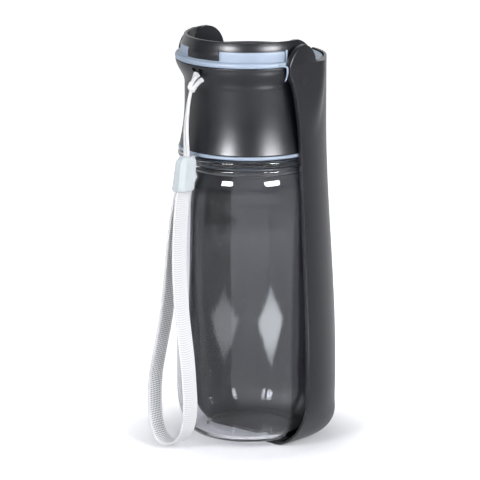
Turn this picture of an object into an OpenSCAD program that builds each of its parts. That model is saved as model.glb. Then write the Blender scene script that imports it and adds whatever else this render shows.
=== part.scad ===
// Travel water bottle for dogs: a clear bottle, a screwed-on head with a push valve,
// a drinking trough that folds down behind the bottle, and a wrist strap.
// Millimetres. Z is up, the trough's foot stands on z = 0, the bottle's axis is X = Y = 0,
// the strap is at the front (-Y) and the folded trough at the back (+Y).

/* [Bottle] */
// Radius of the clear body
bottle_r = 37; // [33:0.5:42]
// Height of the body from its base to the shoulder flange
bottle_h = 147.5; // [120:0.5:180]
// Wall of the body
bottle_wall = 1.4; // [1:0.1:2.5]
// Thickness of the base at its middle
base_t = 2.4; // [1.6:0.1:5]
// Width of the rounding between wall and base
base_round_w = 10.5; // [6:0.5:14]
// Height of the rounding between wall and base
base_round_h = 24.5; // [12:0.5:34]
// Outer radius of the neck
neck_r = 27; // [23:0.5:28]
// Wall of the neck
neck_wall = 1.6; // [1.2:0.1:2.4]
// Height of the neck above the shoulder flange
neck_h = 26; // [22:0.5:30]
// How far the thread ridges stand out of the neck
thread_proud = 1.2; // [0.8:0.1:1.4]
// Pitch of the thread ridges
thread_pitch = 3; // [2.5:0.5:5]

/* [Gaskets] */
// Thickness of the ring between bottle and collar
gasket_t = 1.7; // [1.2:0.1:3]
// Thickness of the flat seal on top of the neck
neck_seal_t = 2; // [1.5:0.1:3]

/* [Collar] */
// Height of the collar
collar_h = 44.5; // [42:0.5:56]
// Radius at the waist
waist_r = 32.5; // [31.8:0.1:34]
// Radius at the bottom edge
collar_low_r = 35.3; // [34:0.1:36.5]
// Radius at the top edge
collar_top_r = 37.1; // [36.6:0.1:38]
// Wall of the collar
collar_wall = 1.8; // [1.4:0.1:2]
// Height of the flare under the top edge
flare_h = 12.2; // [10:0.1:14]

/* [Basin] */
// Rise of the basin wall above the collar
ring_rise = 12.3; // [11:0.1:14]
// Outer radius of the basin wall at its top
ring_top_r = 32.7; // [32.2:0.1:33.2]
// Outer radius of the basin wall above the seal
ring_low_r = 34.6; // [34.2:0.1:35]
// Inner radius of the basin wall
ring_in_r = 31; // [30.5:0.1:31.2]
// Thickness of the basin floor
floor_t = 1.6; // [1.2:0.1:2]
// Half width of the front tab in degrees
tab_angle = 17.6; // [10:0.1:25]
// Angle at which the side windows end
window_angle = 76; // [60:0.5:77]
// Height of the windows
window_h = 5.1; // [3:0.1:6]
// Thickness of the silicone lip
lip_t = 2.7; // [2:0.1:3.2]
// Depth of the seat of the silicone band
band_t = 1.2; // [0.8:0.1:1.4]

/* [Hinge] */
// Radius of the lugs on the basin
lug_r = 13; // [12:0.1:14]
// Thickness of the lugs
lug_t = 1.8; // [1.4:0.1:3]
// Radius of the hub inside each lug
hub_r = 5.5; // [4.5:0.1:8]
// Height of the hub inside each lug
hub_t = 3.8; // [2:0.1:4.5]
// Radius of the pivot boss on each lug
boss_r = 7; // [5:0.1:7.5]
// Radius of the ears on the trough
ear_r = 11.4; // [10:0.1:11.6]
// Radius of the ears' rear outline, above the trough's top edge
ear_back_r = 9.75; // [9:0.05:11]
// Thickness of the ears
ear_t = 3.3; // [3:0.1:3.6]
// Radius of the hinge pins
pin_r = 2.5; // [1.5:0.1:3]
// Thickness of the hinge washers
washer_t = 0.8; // [0.5:0.1:1]

/* [Trough] */
// Gap between the bottle and the trough's lower half
trough_gap = 5.2; // [4.5:0.1:9]
// Wall of the trough
trough_wall = 2.2; // [1.8:0.1:3]
// Wall of the trough at its top edge
trough_lip_wall = 1.3; // [1:0.1:1.6]
// Thickness of the end wall that is the foot
foot_t = 2.3; // [2:0.1:3]
// Wall at the rounded sides above the foot
end_wall = 1.2; // [1:0.1:1.8]
// Gap between the foot and the bottle's base
foot_gap = 2.2; // [2:0.1:4]
// Radius of the corner between back and foot
foot_corner = 16; // [10:0.5:22]
// Distance that the mouth's edge passes the bottle's axis
mouth_y = 2.6; // [1:0.1:4]
// Rise of the trough's top edge above the hinge axis
trough_rise = 2; // [1:0.1:2.5]

/* [Valve] */
// Radius of the valve seat
seat_r = 7; // [6:0.1:7.5]
// Travel of the valve and of the button
stroke = 2; // [1:0.1:2]
// Radius of the valve stem
stem_r = 2.2; // [1.8:0.1:2.2]
// Running clearance of stem and push rod in their bores
bore_gap = 0.05; // [0.02:0.01:0.1]
// Radius of the button's push rod
rod_r = 2; // [1.5:0.1:2]

/* [Strap] */
// Width of the webbing
web_w = 10; // [8:0.5:11]
// Thickness of the webbing
web_t = 1.2; // [0.8:0.1:1.4]
// Diameter of the doubled cord
cord_d = 3.2; // [2.4:0.1:4]
// Width of the strap clip
clip_w = 11.6; // [11.2:0.1:14]
// Height of the strap clip
clip_h = 18; // [14:0.5:22]
// Thickness of the strap clip
clip_t = 8.4; // [6:0.1:9]

/* [Hidden] */
$fn = 96;
eps = 0.01;
far = 90;
side_gap = 0.3;
// Bottle's base, shoulder, beads and thread
base_rim_w = 4.5;
dimple_w = 1.5;
dimple_h = 0.8;
shoulder_w = 8;
shoulder_h = 14;
shoulder_drop = 18;
bead_h = 1.8;
bead_low = [1.4, 1.7, 6.7];
bead_high = [1, 1.9, 2.2];
thread_w = 1.6;
thread_z = 8;
thread_turns = 3;
// Levels, from the floor up
base_z = foot_t + foot_gap;
shoulder_z = base_z + bottle_h;
collar_z = shoulder_z + gasket_t;
collar_top_z = collar_z + collar_h;
neck_top_z = shoulder_z + neck_h;
plate_z = neck_top_z + neck_seal_t;
plate_t = 2;
plate_top_z = plate_z + plate_t;
ledge_t = 2;
lip_z = collar_top_z;
lip_top_z = lip_z + lip_t;
window_top_z = lip_top_z + window_h;
ring_top_z = collar_top_z + ring_rise;
hinge_z = ring_top_z - lug_r;
floor_drop = 3.2;
floor_z = collar_top_z - floor_drop;
floor_top_z = floor_z + floor_t;
trough_edge_z = hinge_z + trough_rise;
// Collar
waist_z = collar_z + (collar_h - flare_h) * 0.75;
flare_z = collar_top_z - flare_h;
collar_steps = 26;
sleeve_out_r = waist_r - collar_wall;
sleeve_in_r = neck_r + thread_proud + side_gap;
ledge_in_r = neck_r;
floor_ledge_t = 2.4;
floor_ledge_w = 3;
frame_fit = 0.1;
seal_seat_r = ring_low_r - band_t;
lip_r = collar_top_r + 0.2;
lip_angle = window_angle + 2;
// Hinge, measured along X from the middle
trough_in_r = collar_top_r + 0.55;
trough_top_r = trough_in_r + trough_lip_wall;
ear_out = trough_top_r + 0.35;
ear_in = ear_out - ear_t;
boss_out = ear_in - washer_t;
lug_out = ring_in_r + 0.6;
lug_in = lug_out - lug_t;
hub_in = lug_in - hub_t;
lug_drop = 5;
flat_x = ear_in - side_gap;
tail_t = 0.6;
boss_gap = 0.4;
ear_gap = 0.6;
ear_back_y = 2.6;
ear_back_z = hinge_z + ear_r - sqrt(ear_back_r * ear_back_r - ear_back_y * ear_back_y);
pin_in = hub_in + 1.5;
pin_out = ear_out - 1.3;
// Trough
trough_low_r = bottle_r + trough_gap + trough_wall;
belly_top_z = hinge_z - 27;
belly_low_z = base_z + 36;
trough_steps = 24;
end_round_w = 24.4;
end_round_h = 33;
rim_start_z = hinge_z - 57;
rim_power = 2.6;
notch_w = 18;
notch_depth = 2;
// Valve
chimney_in_r = seat_r + 1;
chimney_wall = 1.6;
chimney_out_r = chimney_in_r + chimney_wall;
guide_t = 1.4;
guide_top_z = plate_top_z + guide_t;
cone_r = 6.6;
cone_h = cone_r - stem_r;
cone_z = plate_top_z + 6;
rod_z = cone_z + 1.5;
stem_top_z = floor_top_z + 0.8;
valve_seal_t = 1.8;
poppet_t = 1.4;
poppet_r = seat_r + 1.3;
spring_d = 0.7;
spring_turns = 3;
valve_coil_r = 4.4;
button_coil_r = 2.9;
grille_t = 1.4;
hole_r = 1.7;
hole_rho = 5.3;
holes = 6;
spokes = 3;
spoke_w = 1.2;
vent_x = -19;
vent_r = 1.3;
vent_cap_r = 4;
vent_tip = 0.8;
// Button and its frame
frame_w = 21;
frame_h = 10.4;
frame_wall = 1.2;
frame_in_y = 24;
frame_back_t = 1.5;
frame_out_y = waist_r + 1.7;
pad_gap = 0.2;
pad_in_y = frame_in_y + frame_back_t + 5.5;
pad_out_y = frame_out_y + 1.1;
dish_r = 40;
dish_depth = 0.8;
gland_t = 1.4;
// Strap: the loop lies in an upright plane in front of the bottle, the clip leans in that plane
strap_out = bottle_r + 7;
clip_z = 135.5;
clip_low_x = -3.35;
clip_top_x = -0.65;
clip_bevel = 2.2;
clip_taper = 0.92;
bar_w = 2.4;
bar_in_r = collar_top_r - 2.1;
bar_out_r = collar_top_r - 0.7;
bar_lap = 0.4;
slot_angle = 8;
slot_r = ring_low_r - 1;
slot_drop = 5.6;
slot_h = 4.8;
knot_at = [-1.2, -38.6, 190.3];
knot_r = 3;
knot_end_r = 0.85;
knot_end_l = 6.2;
knot_end_lean = 38;
// Route of the webbing as [X, height] in the strap's plane
web_route = [
    [-2.65, 136], [-3.6, 132.5], [-4.4, 127.5], [-5.1, 121], [-5.9, 110], [-6.2, 100.5],
    [-5.95, 90], [-5.2, 80], [-3.9, 69], [-2.15, 58], [-0.55, 47], [0.5, 36], [1.1, 27],
    [0.75, 19.5], [-1.1, 12], [-4, 7.4], [-8, 4.4], [-12.6, 3.2], [-17, 3.7], [-20.6, 6.4],
    [-23, 11.5], [-24.1, 19], [-24.3, 28], [-23.3, 38], [-21.2, 47], [-18.7, 56.5],
    [-16, 68], [-13.9, 80], [-12, 93], [-10.4, 104.5], [-8.9, 115], [-7.2, 124],
    [-5.6, 130.3], [-4.3, 136]
];
// Route of the doubled cord from the bar on the collar to the clip
cord_route = [
    [-0.3, -37.4, 195], [-0.8, -38.1, 192.6], [-1.2, -38.6, 190.3], [-2.1, -39.5, 185.1],
    [-2.6, -40.6, 179.5], [-2.5, -41.9, 173], [-1.9, -43.1, 166.3], [-1.1, -43.8, 160.5],
    [-0.65, -strap_out, 155.5], [-0.65, -strap_out, 152.5]
];

black = [0.17, 0.175, 0.185];
ice_blue = [0.74, 0.82, 0.92];
steel = [0.72, 0.73, 0.75];

// Helper functions
function smooth(t) = let (u = max(0, min(1, t))) u * u * (3 - 2 * u);
function arc(cx, cz, rx, rz, a0, a1, n) =
    [for (i = [0:n]) let (a = a0 + (a1 - a0) * i / n) [cx + rx * cos(a), cz + rz * sin(a)]];
function unit(v) = v / norm(v);
function collar_r(z) =
    waist_r
    + (collar_low_r - waist_r) * pow(max(0, (waist_z - z) / (waist_z - collar_z)), 2)
    + (collar_top_r - waist_r) * smooth((z - flare_z) / flare_h);
function trough_r(z) =
    trough_top_r + (trough_low_r - trough_top_r)
    * smooth((belly_top_z - z) / (belly_top_z - belly_low_z));
function wall_at(z) = trough_lip_wall
    + (trough_wall - trough_lip_wall) * smooth((hinge_z - z) / (hinge_z - belly_top_z));
function rim_y(z) =
    mouth_y + (ear_r - mouth_y)
    * pow(max(0, (z - rim_start_z) / (hinge_z - rim_start_z)), rim_power);
function in_plane(x, z, across = 0) = [x, across - strap_out, z];
// A smooth curve through the route's points, each stretch a cubic
function curve(p, steps) = [
    for (i = [0:len(p) - 2], k = [0:steps - 1])
        let (t = k / steps, a = p[max(0, i - 1)], b = p[i], c = p[i + 1],
            d = p[min(len(p) - 1, i + 2)])
        0.5 * (2 * b + (c - a) * t + (2 * a - 5 * b + 4 * c - d) * t * t
            + (3 * b - a - 3 * c + d) * t * t * t),
    p[len(p) - 1]
];
function tangent(p, i) = unit(p[min(len(p) - 1, i + 1)] - p[max(0, i - 1)]);
// Rings of a flat strip: its thickness lies along the normal, its width across the plane
function strip_ring(p, i) =
    let (t = tangent(p, i), n = [t[1], -t[0]], e = web_t / 2, w = web_w / 2, c = web_t / 4)
    [for (s = [[e, c - w], [e, w - c], [e - c, w], [c - e, w], [-e, w - c], [-e, c - w],
               [c - e, -w], [e - c, -w]])
        in_plane(p[i][0] + n[0] * s[0], p[i][1] + n[1] * s[0], s[1])];
// Rings of a round tube along a path in space; side is a direction the path never takes
function tube_ring(p, i, r, sides, side) =
    let (t = tangent(p, i), v = unit(cross(t, side)), w = cross(v, t))
    [for (k = [0:sides - 1]) p[i] + r * cos(360 * k / sides) * w + r * sin(360 * k / sides) * v];
function join(rings) = [for (ring = rings, q = ring) q];
function skin(rings, sides) = concat(
    [for (i = [0:rings - 2], k = [0:sides - 1]) let (m = (k + 1) % sides)
        [i * sides + k, i * sides + m, (i + 1) * sides + m]],
    [for (i = [0:rings - 2], k = [0:sides - 1]) let (m = (k + 1) % sides)
        [i * sides + k, (i + 1) * sides + m, (i + 1) * sides + k]],
    [for (k = [1:sides - 2]) [0, k + 1, k]],
    [for (k = [1:sides - 2]) [for (j = [0, k, k + 1]) (rings - 1) * sides + j]]
);
function coil(r, length, turns, wire) =
    let (n = turns * 8, rise = length - wire)
    [for (i = [0:n]) [r * cos(45 * i), r * sin(45 * i), wire / 2 + rise * i / n]];
// Least distance between points of a coil that lie a turn or more apart, less its wire
function coil_gap(p, wire) =
    min([for (i = [0:len(p) - 9], j = [i + 8:len(p) - 1]) norm(p[i] - p[j])]) - wire;

// Helper modules
module ring(r_in, r_out, z, h) {
    translate([0, 0, z]) difference() {
        cylinder(r = r_out, h = h);
        translate([0, 0, -1]) cylinder(r = r_in, h = h + 2);
    }
}

// A revolved outline over the angles from -half to +half about the front
module front_turn(from, to) {
    rotate([0, 0, 270 + from]) rotate_extrude(angle = to - from) children();
}

module side_cyl(r, x0, x1) {
    translate([x0, 0, hinge_z]) rotate([0, 90, 0]) cylinder(r = r, h = x1 - x0);
}

module both_sides() {
    children();
    mirror([1, 0, 0]) children();
}

module rod_cyl(r, y0, y1) {
    translate([0, y0, rod_z]) rotate([-90, 0, 0]) cylinder(r = r, h = y1 - y0);
}

module coil_spring(r, length, turns, wire, sides = 6) {
    path = coil(r, length, turns, wire);
    rings = [for (i = [0:len(path) - 1]) tube_ring(path, i, wire / 2, sides, [0, 0, 1])];
    polyhedron(join(rings), skin(len(path), sides), convexity = 8);
    echo(coil_gap = coil_gap(path, wire));
}

// Sub-parts
// A bead round the shoulder, as [inset from the body, width, depth under the flange]
function bead(b) =
    arc(bottle_r - b[0] - b[1], shoulder_z - b[2], b[1], bead_h, -60, 60, 6);

module bottle_outline() {
    r_base = bottle_r - base_round_w;
    z_round = base_z + base_round_h;
    polygon(concat(
        [[0, base_z + dimple_h], [r_base - base_rim_w - dimple_w, base_z + dimple_h],
         [r_base - base_rim_w, base_z]],
        arc(r_base, z_round, base_round_w, base_round_h, -90, 0, 14),
        arc(bottle_r - shoulder_w, shoulder_z - shoulder_drop, shoulder_w, shoulder_h, 0, 39, 8),
        bead(bead_low),
        bead(bead_high),
        [[bottle_r - 2.6, shoulder_z], [neck_r, shoulder_z], [neck_r, neck_top_z],
         [neck_r - neck_wall, neck_top_z], [neck_r - neck_wall, shoulder_z - 1.5]],
        arc(neck_r - neck_wall + 2, shoulder_z - 12, bottle_r - neck_r - 3.5, 9, 85, 0, 6),
        [[bottle_r - bottle_wall, shoulder_z - 24]],
        arc(r_base, z_round, base_round_w - bottle_wall, base_round_h - base_t, 0, -90, 12),
        [[0, base_z + base_t]]
    ));
}

module bottle_shell() {
    color([0.75, 0.8, 0.85, 0.4]) {
        rotate_extrude() bottle_outline();
        for (k = [0:thread_turns - 1])
            ring(neck_r - neck_wall / 3, neck_r + thread_proud,
                shoulder_z + thread_z + k * thread_pitch, thread_w);
    }
}

module neck_gasket() {
    color(ice_blue) ring(neck_r + side_gap, collar_low_r + 0.5, shoulder_z, gasket_t);
}

module neck_seal() {
    color(ice_blue) ring(neck_r - neck_wall, neck_r + 0.9, neck_top_z, neck_seal_t);
}

module collar_outline() {
    outer = [for (i = [0:collar_steps]) let (z = collar_z + collar_h * i / collar_steps)
        [collar_r(z), z]];
    inner = [for (i = [collar_steps:-1:0]) let (z = collar_z + collar_h * i / collar_steps)
        [collar_r(z) - collar_wall, z]];
    polygon(concat(outer, inner));
}

module collar_ledge(r, z, h) {
    intersection() {
        ring(r, collar_top_r, z, h);
        rotate_extrude() polygon(concat(
            [[0, collar_z]],
            [for (i = [0:collar_steps]) let (t = collar_z + collar_h * i / collar_steps)
                [collar_r(t) - collar_wall / 2, t]],
            [[0, collar_top_z]]));
    }
}

module lanyard_bar() {
    intersection() {
        ring(bar_in_r, bar_out_r, collar_top_z - slot_drop - bar_lap, slot_h + 2 * bar_lap);
        translate([-bar_w / 2, -far, 0]) cube([bar_w, far, far * 3]);
    }
}

module collar_shell() {
    color(black) {
        difference() {
            union() {
                rotate_extrude() collar_outline();
                collar_ledge(ledge_in_r, plate_top_z, ledge_t);
                collar_ledge(ring_in_r - floor_ledge_w, floor_z - floor_ledge_t, floor_ledge_t);
            }
            both_sides() side_cyl(boss_r + boss_gap, hub_in - 1, far);
            both_sides() side_cyl(ear_r + ear_gap, flat_x - tail_t, far);
            both_sides() lug(side_gap);
            translate([-frame_w / 2 - frame_fit, frame_in_y - 4, rod_z - frame_h / 2 - frame_fit])
                cube([frame_w + 2 * frame_fit, far, frame_h + 2 * frame_fit]);
            front_turn(-slot_angle, slot_angle)
                translate([slot_r, collar_top_z - slot_drop]) square([10, slot_h]);
        }
        lanyard_bar();
    }
}

module neck_insert() {
    color([0.86, 0.87, 0.88]) difference() {
        union() {
            ring(sleeve_in_r, sleeve_out_r, collar_z + 1.5, plate_z - collar_z - 1.5 + eps);
            translate([0, 0, plate_z]) cylinder(r = sleeve_out_r, h = plate_t);
            translate([0, 0, plate_z]) cylinder(r = chimney_out_r, h = floor_top_z - plate_z);
        }
        translate([0, 0, plate_z - 1]) cylinder(r = seat_r, h = plate_t + 2);
        translate([0, 0, plate_top_z]) cylinder(r = chimney_in_r, h = far);
        rod_cyl(rod_r + bore_gap, 0, far);
        translate([vent_x, 0, plate_z - 1]) cylinder(r = vent_r, h = plate_t + 2);
    }
}

module basin_outline() {
    polygon([
        [ring_in_r, floor_z], [ring_in_r, ring_top_z - 0.4], [ring_in_r + 0.4, ring_top_z],
        [ring_top_r - 0.4, ring_top_z], [ring_top_r, ring_top_z - 0.5],
        [ring_top_r + 0.45, ring_top_z - 1.8], [ring_top_r + 1, ring_top_z - 3.6],
        [ring_low_r - 0.35, window_top_z - 0.6], [ring_low_r, window_top_z - 1.8],
        [ring_low_r, lip_top_z], [seal_seat_r, lip_top_z], [seal_seat_r, floor_z]
    ]);
}

// A round plate at the basin's side with a hub inside it, cut off under the floor, where the
// collar draws in
module lug(gap) {
    intersection() {
        union() {
            side_cyl(lug_r + gap, lug_in - gap, lug_out + gap);
            side_cyl(hub_r + gap, hub_in - gap, lug_in + eps);
        }
        translate([0, -far, hinge_z - lug_drop - gap]) cube([far, 2 * far, far]);
        union() {
            cylinder(r = seal_seat_r - side_gap + gap, h = lip_z + gap);
            translate([0, 0, lip_z]) cylinder(r = far, h = far);
        }
    }
}

module basin() {
    color(black) difference() {
        union() {
            difference() {
                rotate_extrude() basin_outline();
                translate([-far, 2, floor_top_z + 2]) cube([2 * far, far, far]);
            }
            difference() {
                translate([0, 0, floor_z]) cylinder(r = ring_in_r + eps, h = floor_t);
                translate([0, 0, floor_z - 1]) cylinder(r = chimney_out_r, h = floor_t + 2);
            }
            both_sides() lug(0);
            both_sides() side_cyl(boss_r, lug_out - 1, boss_out);
        }
        for (s = [-1, 1])
            rotate([0, 0, 270 + (s < 0 ? -window_angle : tab_angle)])
                rotate_extrude(angle = window_angle - tab_angle)
                    translate([seal_seat_r, lip_z - 4]) square([4, window_top_z - lip_z + 4]);
        both_sides() side_cyl(pin_r + bore_gap, pin_in - 0.5, far);
    }
}

module rim_seal() {
    lip_mid = lip_z + lip_t / 2;
    color(ice_blue) {
        difference() {
            front_turn(-lip_angle, lip_angle) polygon(concat(
                [[seal_seat_r, lip_z]],
                arc(lip_r - 1.1, lip_mid, 1.1, lip_t / 2, -90, 90, 8),
                [[ring_low_r + 0.9, lip_top_z - 0.2], [ring_low_r + 0.1, lip_top_z],
                 [seal_seat_r, lip_top_z]]));
            both_sides() side_cyl(ear_r + ear_gap - 0.1, flat_x, far);
        }
        for (s = [-1, 1])
            rotate([0, 0, 270 + (s < 0 ? -window_angle : tab_angle)])
                rotate_extrude(angle = window_angle - tab_angle)
                    translate([seal_seat_r, lip_top_z - eps])
                        square([band_t - 0.15, window_h + eps]);
        both_sides() intersection() {
            rotate_extrude() polygon(concat(
                [[seal_seat_r + 1, flare_z]],
                [for (i = [0:11]) let (z = flare_z + flare_h * i / 10) [collar_r(z) - 0.05, z]],
                [[seal_seat_r + 1, collar_top_z + flare_h / 10]]));
            difference() {
                side_cyl(ear_r + ear_gap, flat_x - tail_t, flat_x);
                side_cyl(boss_r + boss_gap, lug_in, far);
            }
            translate([0, -far, flare_z]) cube([far, far - boss_r + 2, flare_h + 1]);
        }
    }
}

module outlet_grille() {
    color(black) difference() {
        translate([0, 0, floor_top_z - grille_t]) cylinder(r = chimney_in_r, h = grille_t);
        translate([0, 0, floor_top_z - 3]) cylinder(r = stem_r + bore_gap, h = 6);
        for (k = [0:holes - 1]) rotate([0, 0, 360 / holes * (k + 0.5)])
            translate([hole_rho, 0, floor_top_z - 3]) cylinder(r = hole_r, h = 6);
    }
}

module valve_guide() {
    color([0.86, 0.87, 0.88]) {
        ring(chimney_in_r - spoke_w, chimney_in_r, plate_top_z, guide_t);
        ring(stem_r + bore_gap, stem_r + spoke_w, plate_top_z, guide_t);
        for (k = [0:spokes - 1]) rotate([0, 0, 360 / spokes * k + 90])
            translate([stem_r + spoke_w / 2, -spoke_w / 2, plate_top_z])
                cube([chimney_in_r - stem_r - spoke_w, spoke_w, guide_t]);
    }
}

module valve_stem() {
    color([0.9, 0.91, 0.92]) {
        translate([0, 0, plate_z - valve_seal_t - poppet_t]) cylinder(r = poppet_r - 0.3, h = poppet_t);
        translate([0, 0, plate_z - valve_seal_t - poppet_t])
            cylinder(r = stem_r, h = stem_top_z - plate_z + valve_seal_t + poppet_t);
        translate([0, 0, cone_z]) cylinder(r1 = cone_r, r2 = stem_r, h = cone_h, $fn = 96);
    }
}

module valve_seal() {
    color(ice_blue) ring(stem_r, poppet_r, plate_z - valve_seal_t, valve_seal_t);
}

module valve_spring() {
    color(steel) translate([0, 0, guide_top_z])
        coil_spring(valve_coil_r, cone_z - guide_top_z, spring_turns, spring_d);
}

module vent_valve() {
    color(ice_blue) translate([vent_x, 0, 0]) {
        translate([0, 0, plate_z - vent_tip]) cylinder(r = vent_r, h = plate_t + vent_tip + eps);
        translate([0, 0, plate_top_z]) cylinder(r1 = vent_cap_r, r2 = vent_cap_r - 1.6, h = 1);
    }
}

module release_button() {
    w = frame_w - 2 * frame_wall - 2 * pad_gap;
    h = frame_h - 2 * frame_wall - 2 * pad_gap;
    color(black) difference() {
        union() {
            translate([-w / 2, pad_in_y, rod_z - h / 2]) cube([w, pad_out_y - pad_in_y, h]);
            rod_cyl(rod_r, stem_r + stroke + bore_gap, pad_in_y + eps);
        }
        // The rod's end is cut at 45 degrees, to lie on the stem's cone
        translate([-5, stem_r + bore_gap, cone_z + cone_h]) rotate([45, 0, 0])
            translate([0, -10, -20]) cube([10, 10, 40]);
        // Shallow dish for the thumb
        translate([0, pad_out_y + dish_r - dish_depth, rod_z]) rotate([0, 90, 0])
            translate([0, 0, -w]) cylinder(r = dish_r, h = 2 * w);
    }
}

module button_frame() {
    color(black) difference() {
        translate([-frame_w / 2, frame_in_y, rod_z - frame_h / 2])
            cube([frame_w, frame_out_y - frame_in_y, frame_h]);
        translate([-frame_w / 2 + frame_wall, frame_in_y + frame_back_t,
                rod_z - frame_h / 2 + frame_wall])
            cube([frame_w - 2 * frame_wall, far, frame_h - 2 * frame_wall]);
        rod_cyl(rod_r + bore_gap, 0, far);
    }
}

module button_spring() {
    color(steel) translate([0, frame_in_y + frame_back_t, rod_z]) rotate([-90, 0, 0])
        coil_spring(button_coil_r, pad_in_y - frame_in_y - frame_back_t, spring_turns + 1, spring_d);
}

module button_seal() {
    color(ice_blue) difference() {
        rod_cyl(rod_r + 1.8, chimney_out_r - 0.3, chimney_out_r + gland_t);
        rod_cyl(rod_r + bore_gap, 0, far);
        translate([0, 0, plate_z]) cylinder(r = chimney_out_r, h = far);
    }
}

// Outline of the trough seen from behind, drawn in by inset
module end_outline(inset) {
    half = max(trough_low_r, trough_top_r) - end_round_w;
    w = end_round_w - inset;
    h = end_round_h - inset;
    translate([0, far]) rotate([90, 0, 0]) linear_extrude(2 * far) polygon(concat(
        arc(-half, end_round_h, w, h, 180, 270, 12),
        arc(half, end_round_h, w, h, 270, 360, 12),
        [[half + w, hinge_z + far], [-half - w, hinge_z + far]]));
}

// Keeps what stands before the ears' rear outline, or under the trough's top edge
module ear_limit() {
    translate([0, -ear_back_y, ear_back_z]) rotate([0, 90, 0])
        translate([0, 0, -far]) cylinder(r = ear_back_r, h = 2 * far);
    translate([-far, -far, -far]) cube([2 * far, 2 * far, far + trough_edge_z]);
}

// Side view of the trough: behind the mouth's edge, with the ear, under the top edge
module side_outline() {
    n = 16;
    low = -5;
    rotate([90, 0, 90]) translate([0, 0, -far]) linear_extrude(2 * far) union() {
        translate([0, hinge_z]) circle(r = ear_r);
        polygon(concat(
            [[-mouth_y, low]],
            [for (i = [0:n]) let (z = rim_start_z + (hinge_z - rim_start_z) * i / n)
                [-rim_y(z), z]],
            [[0, hinge_z], [0, trough_edge_z], [far, trough_edge_z], [far, low]]));
    }
}

module trough_outer() {
    rotate_extrude() polygon(concat(
        [[0, 0]],
        arc(trough_low_r - foot_corner, foot_corner, foot_corner, foot_corner, -90, 0, 12),
        [for (i = [0:trough_steps])
            let (z = foot_corner + 2 + (hinge_z - foot_corner - 2) * i / trough_steps)
            [trough_r(z), z]],
        [[trough_top_r, hinge_z + 20], [0, hinge_z + 20]]));
}

module trough_cavity() {
    c = foot_corner - trough_wall;
    rotate_extrude() polygon(concat(
        [[0, foot_t]],
        arc(trough_low_r - foot_corner, foot_t + c, c, c, -90, 0, 12),
        [for (i = [0:trough_steps])
            let (z = foot_corner + 2 + (hinge_z - foot_corner - 2) * i / trough_steps)
            [trough_r(z) - wall_at(z), z]],
        [[trough_in_r, hinge_z + 30], [0, hinge_z + 30]]));
}

module trough_shell() {
    color(black) difference() {
        union() {
            difference() {
                intersection() {
                    trough_outer();
                    end_outline(0);
                    side_outline();
                    ear_limit();
                }
                intersection() {
                    trough_cavity();
                    end_outline(end_wall);
                }
                // Shallow cut in the back's top edge, which clears the cord when the trough is up
                translate([-notch_w / 2, 0, trough_edge_z - notch_depth]) cube([notch_w, far, 20]);
            }
            intersection() {
                both_sides() side_cyl(ear_r, ear_in, ear_out);
                ear_limit();
            }
        }
        both_sides() side_cyl(pin_r, ear_in - 1, pin_out);
    }
}

module hinge_pin() {
    color(steel) side_cyl(pin_r, pin_in, pin_out);
}

module hinge_washer() {
    color([0.9, 0.9, 0.9]) difference() {
        side_cyl(boss_r - 0.8, boss_out, ear_in);
        side_cyl(pin_r + bore_gap, lug_in, far);
    }
}

module hinge_pin_left() {
    mirror([1, 0, 0]) hinge_pin();
}

module hinge_pin_right() {
    hinge_pin();
}

module hinge_washer_left() {
    mirror([1, 0, 0]) hinge_washer();
}

module hinge_washer_right() {
    hinge_washer();
}

module lanyard_cord() {
    path = curve(cord_route, 2);
    rings = [for (i = [0:len(path) - 1]) tube_ring(path, i, cord_d / 2, 8, [1, 0, 0])];
    color("white") polyhedron(join(rings), skin(len(path), 8), convexity = 4);
}

module lanyard_knot() {
    color("white") translate(knot_at) {
        scale([1, 0.85, 1]) sphere(r = knot_r, $fn = 32);
        for (s = [-1, 1]) rotate([0, knot_end_lean + 6 * s, 0]) translate([0, -0.4 - 0.5 * s, 0])
            cylinder(r = knot_end_r, h = knot_end_l, $fn = 24);
    }
}

// A thin slice of the clip: t is its height from 0 to 1, inset draws its outline in
module clip_slice(t, inset = 0) {
    k = 1 - (1 - clip_taper) * t;
    x = clip_t / 2 * k - inset;
    y = clip_w / 2 * k - inset;
    b = clip_bevel;
    translate([clip_low_x + (clip_top_x - clip_low_x) * t, -strap_out, clip_z + clip_h * t])
        linear_extrude(eps) polygon([[x, y - b], [x - b, y], [b - x, y], [-x, y - b],
            [-x, b - y], [b - x, -y], [x - b, -y], [x, b - y]]);
}

module strap_clip() {
    color([0.88, 0.94, 0.96]) hull() {
        clip_slice(0, 0.8);
        clip_slice(0.06);
        clip_slice(0.84);
        clip_slice(1, 1.3);
    }
}

module strap_webbing() {
    path = curve(web_route, 2);
    rings = [for (i = [0:len(path) - 1]) strip_ring(path, i)];
    color("white") polyhedron(join(rings), skin(len(path), 8), convexity = 6);
}

bottle_shell();
neck_gasket();
neck_seal();
collar_shell();
neck_insert();
basin();
rim_seal();
outlet_grille();
valve_guide();
valve_stem();
valve_seal();
valve_spring();
vent_valve();
release_button();
button_frame();
button_spring();
button_seal();
trough_shell();
hinge_pin_left();
hinge_pin_right();
hinge_washer_left();
hinge_washer_right();
lanyard_cord();
lanyard_knot();
strap_clip();
strap_webbing();
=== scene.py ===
"""Pieces, finishes, light and view of a travel water bottle for dogs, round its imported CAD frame.

Sizes in the property groups are metres. The shape functions work in millimetres, in the CAD's own
frame: Z up from the trough's foot, the bottle's axis at X = Y = 0, the strap at the front (-Y).
"""

import math
from types import SimpleNamespace

import bmesh
import bpy
import numpy as np
from bpy.props import FloatProperty, FloatVectorProperty, PointerProperty
from mathutils import Matrix, Vector


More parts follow.
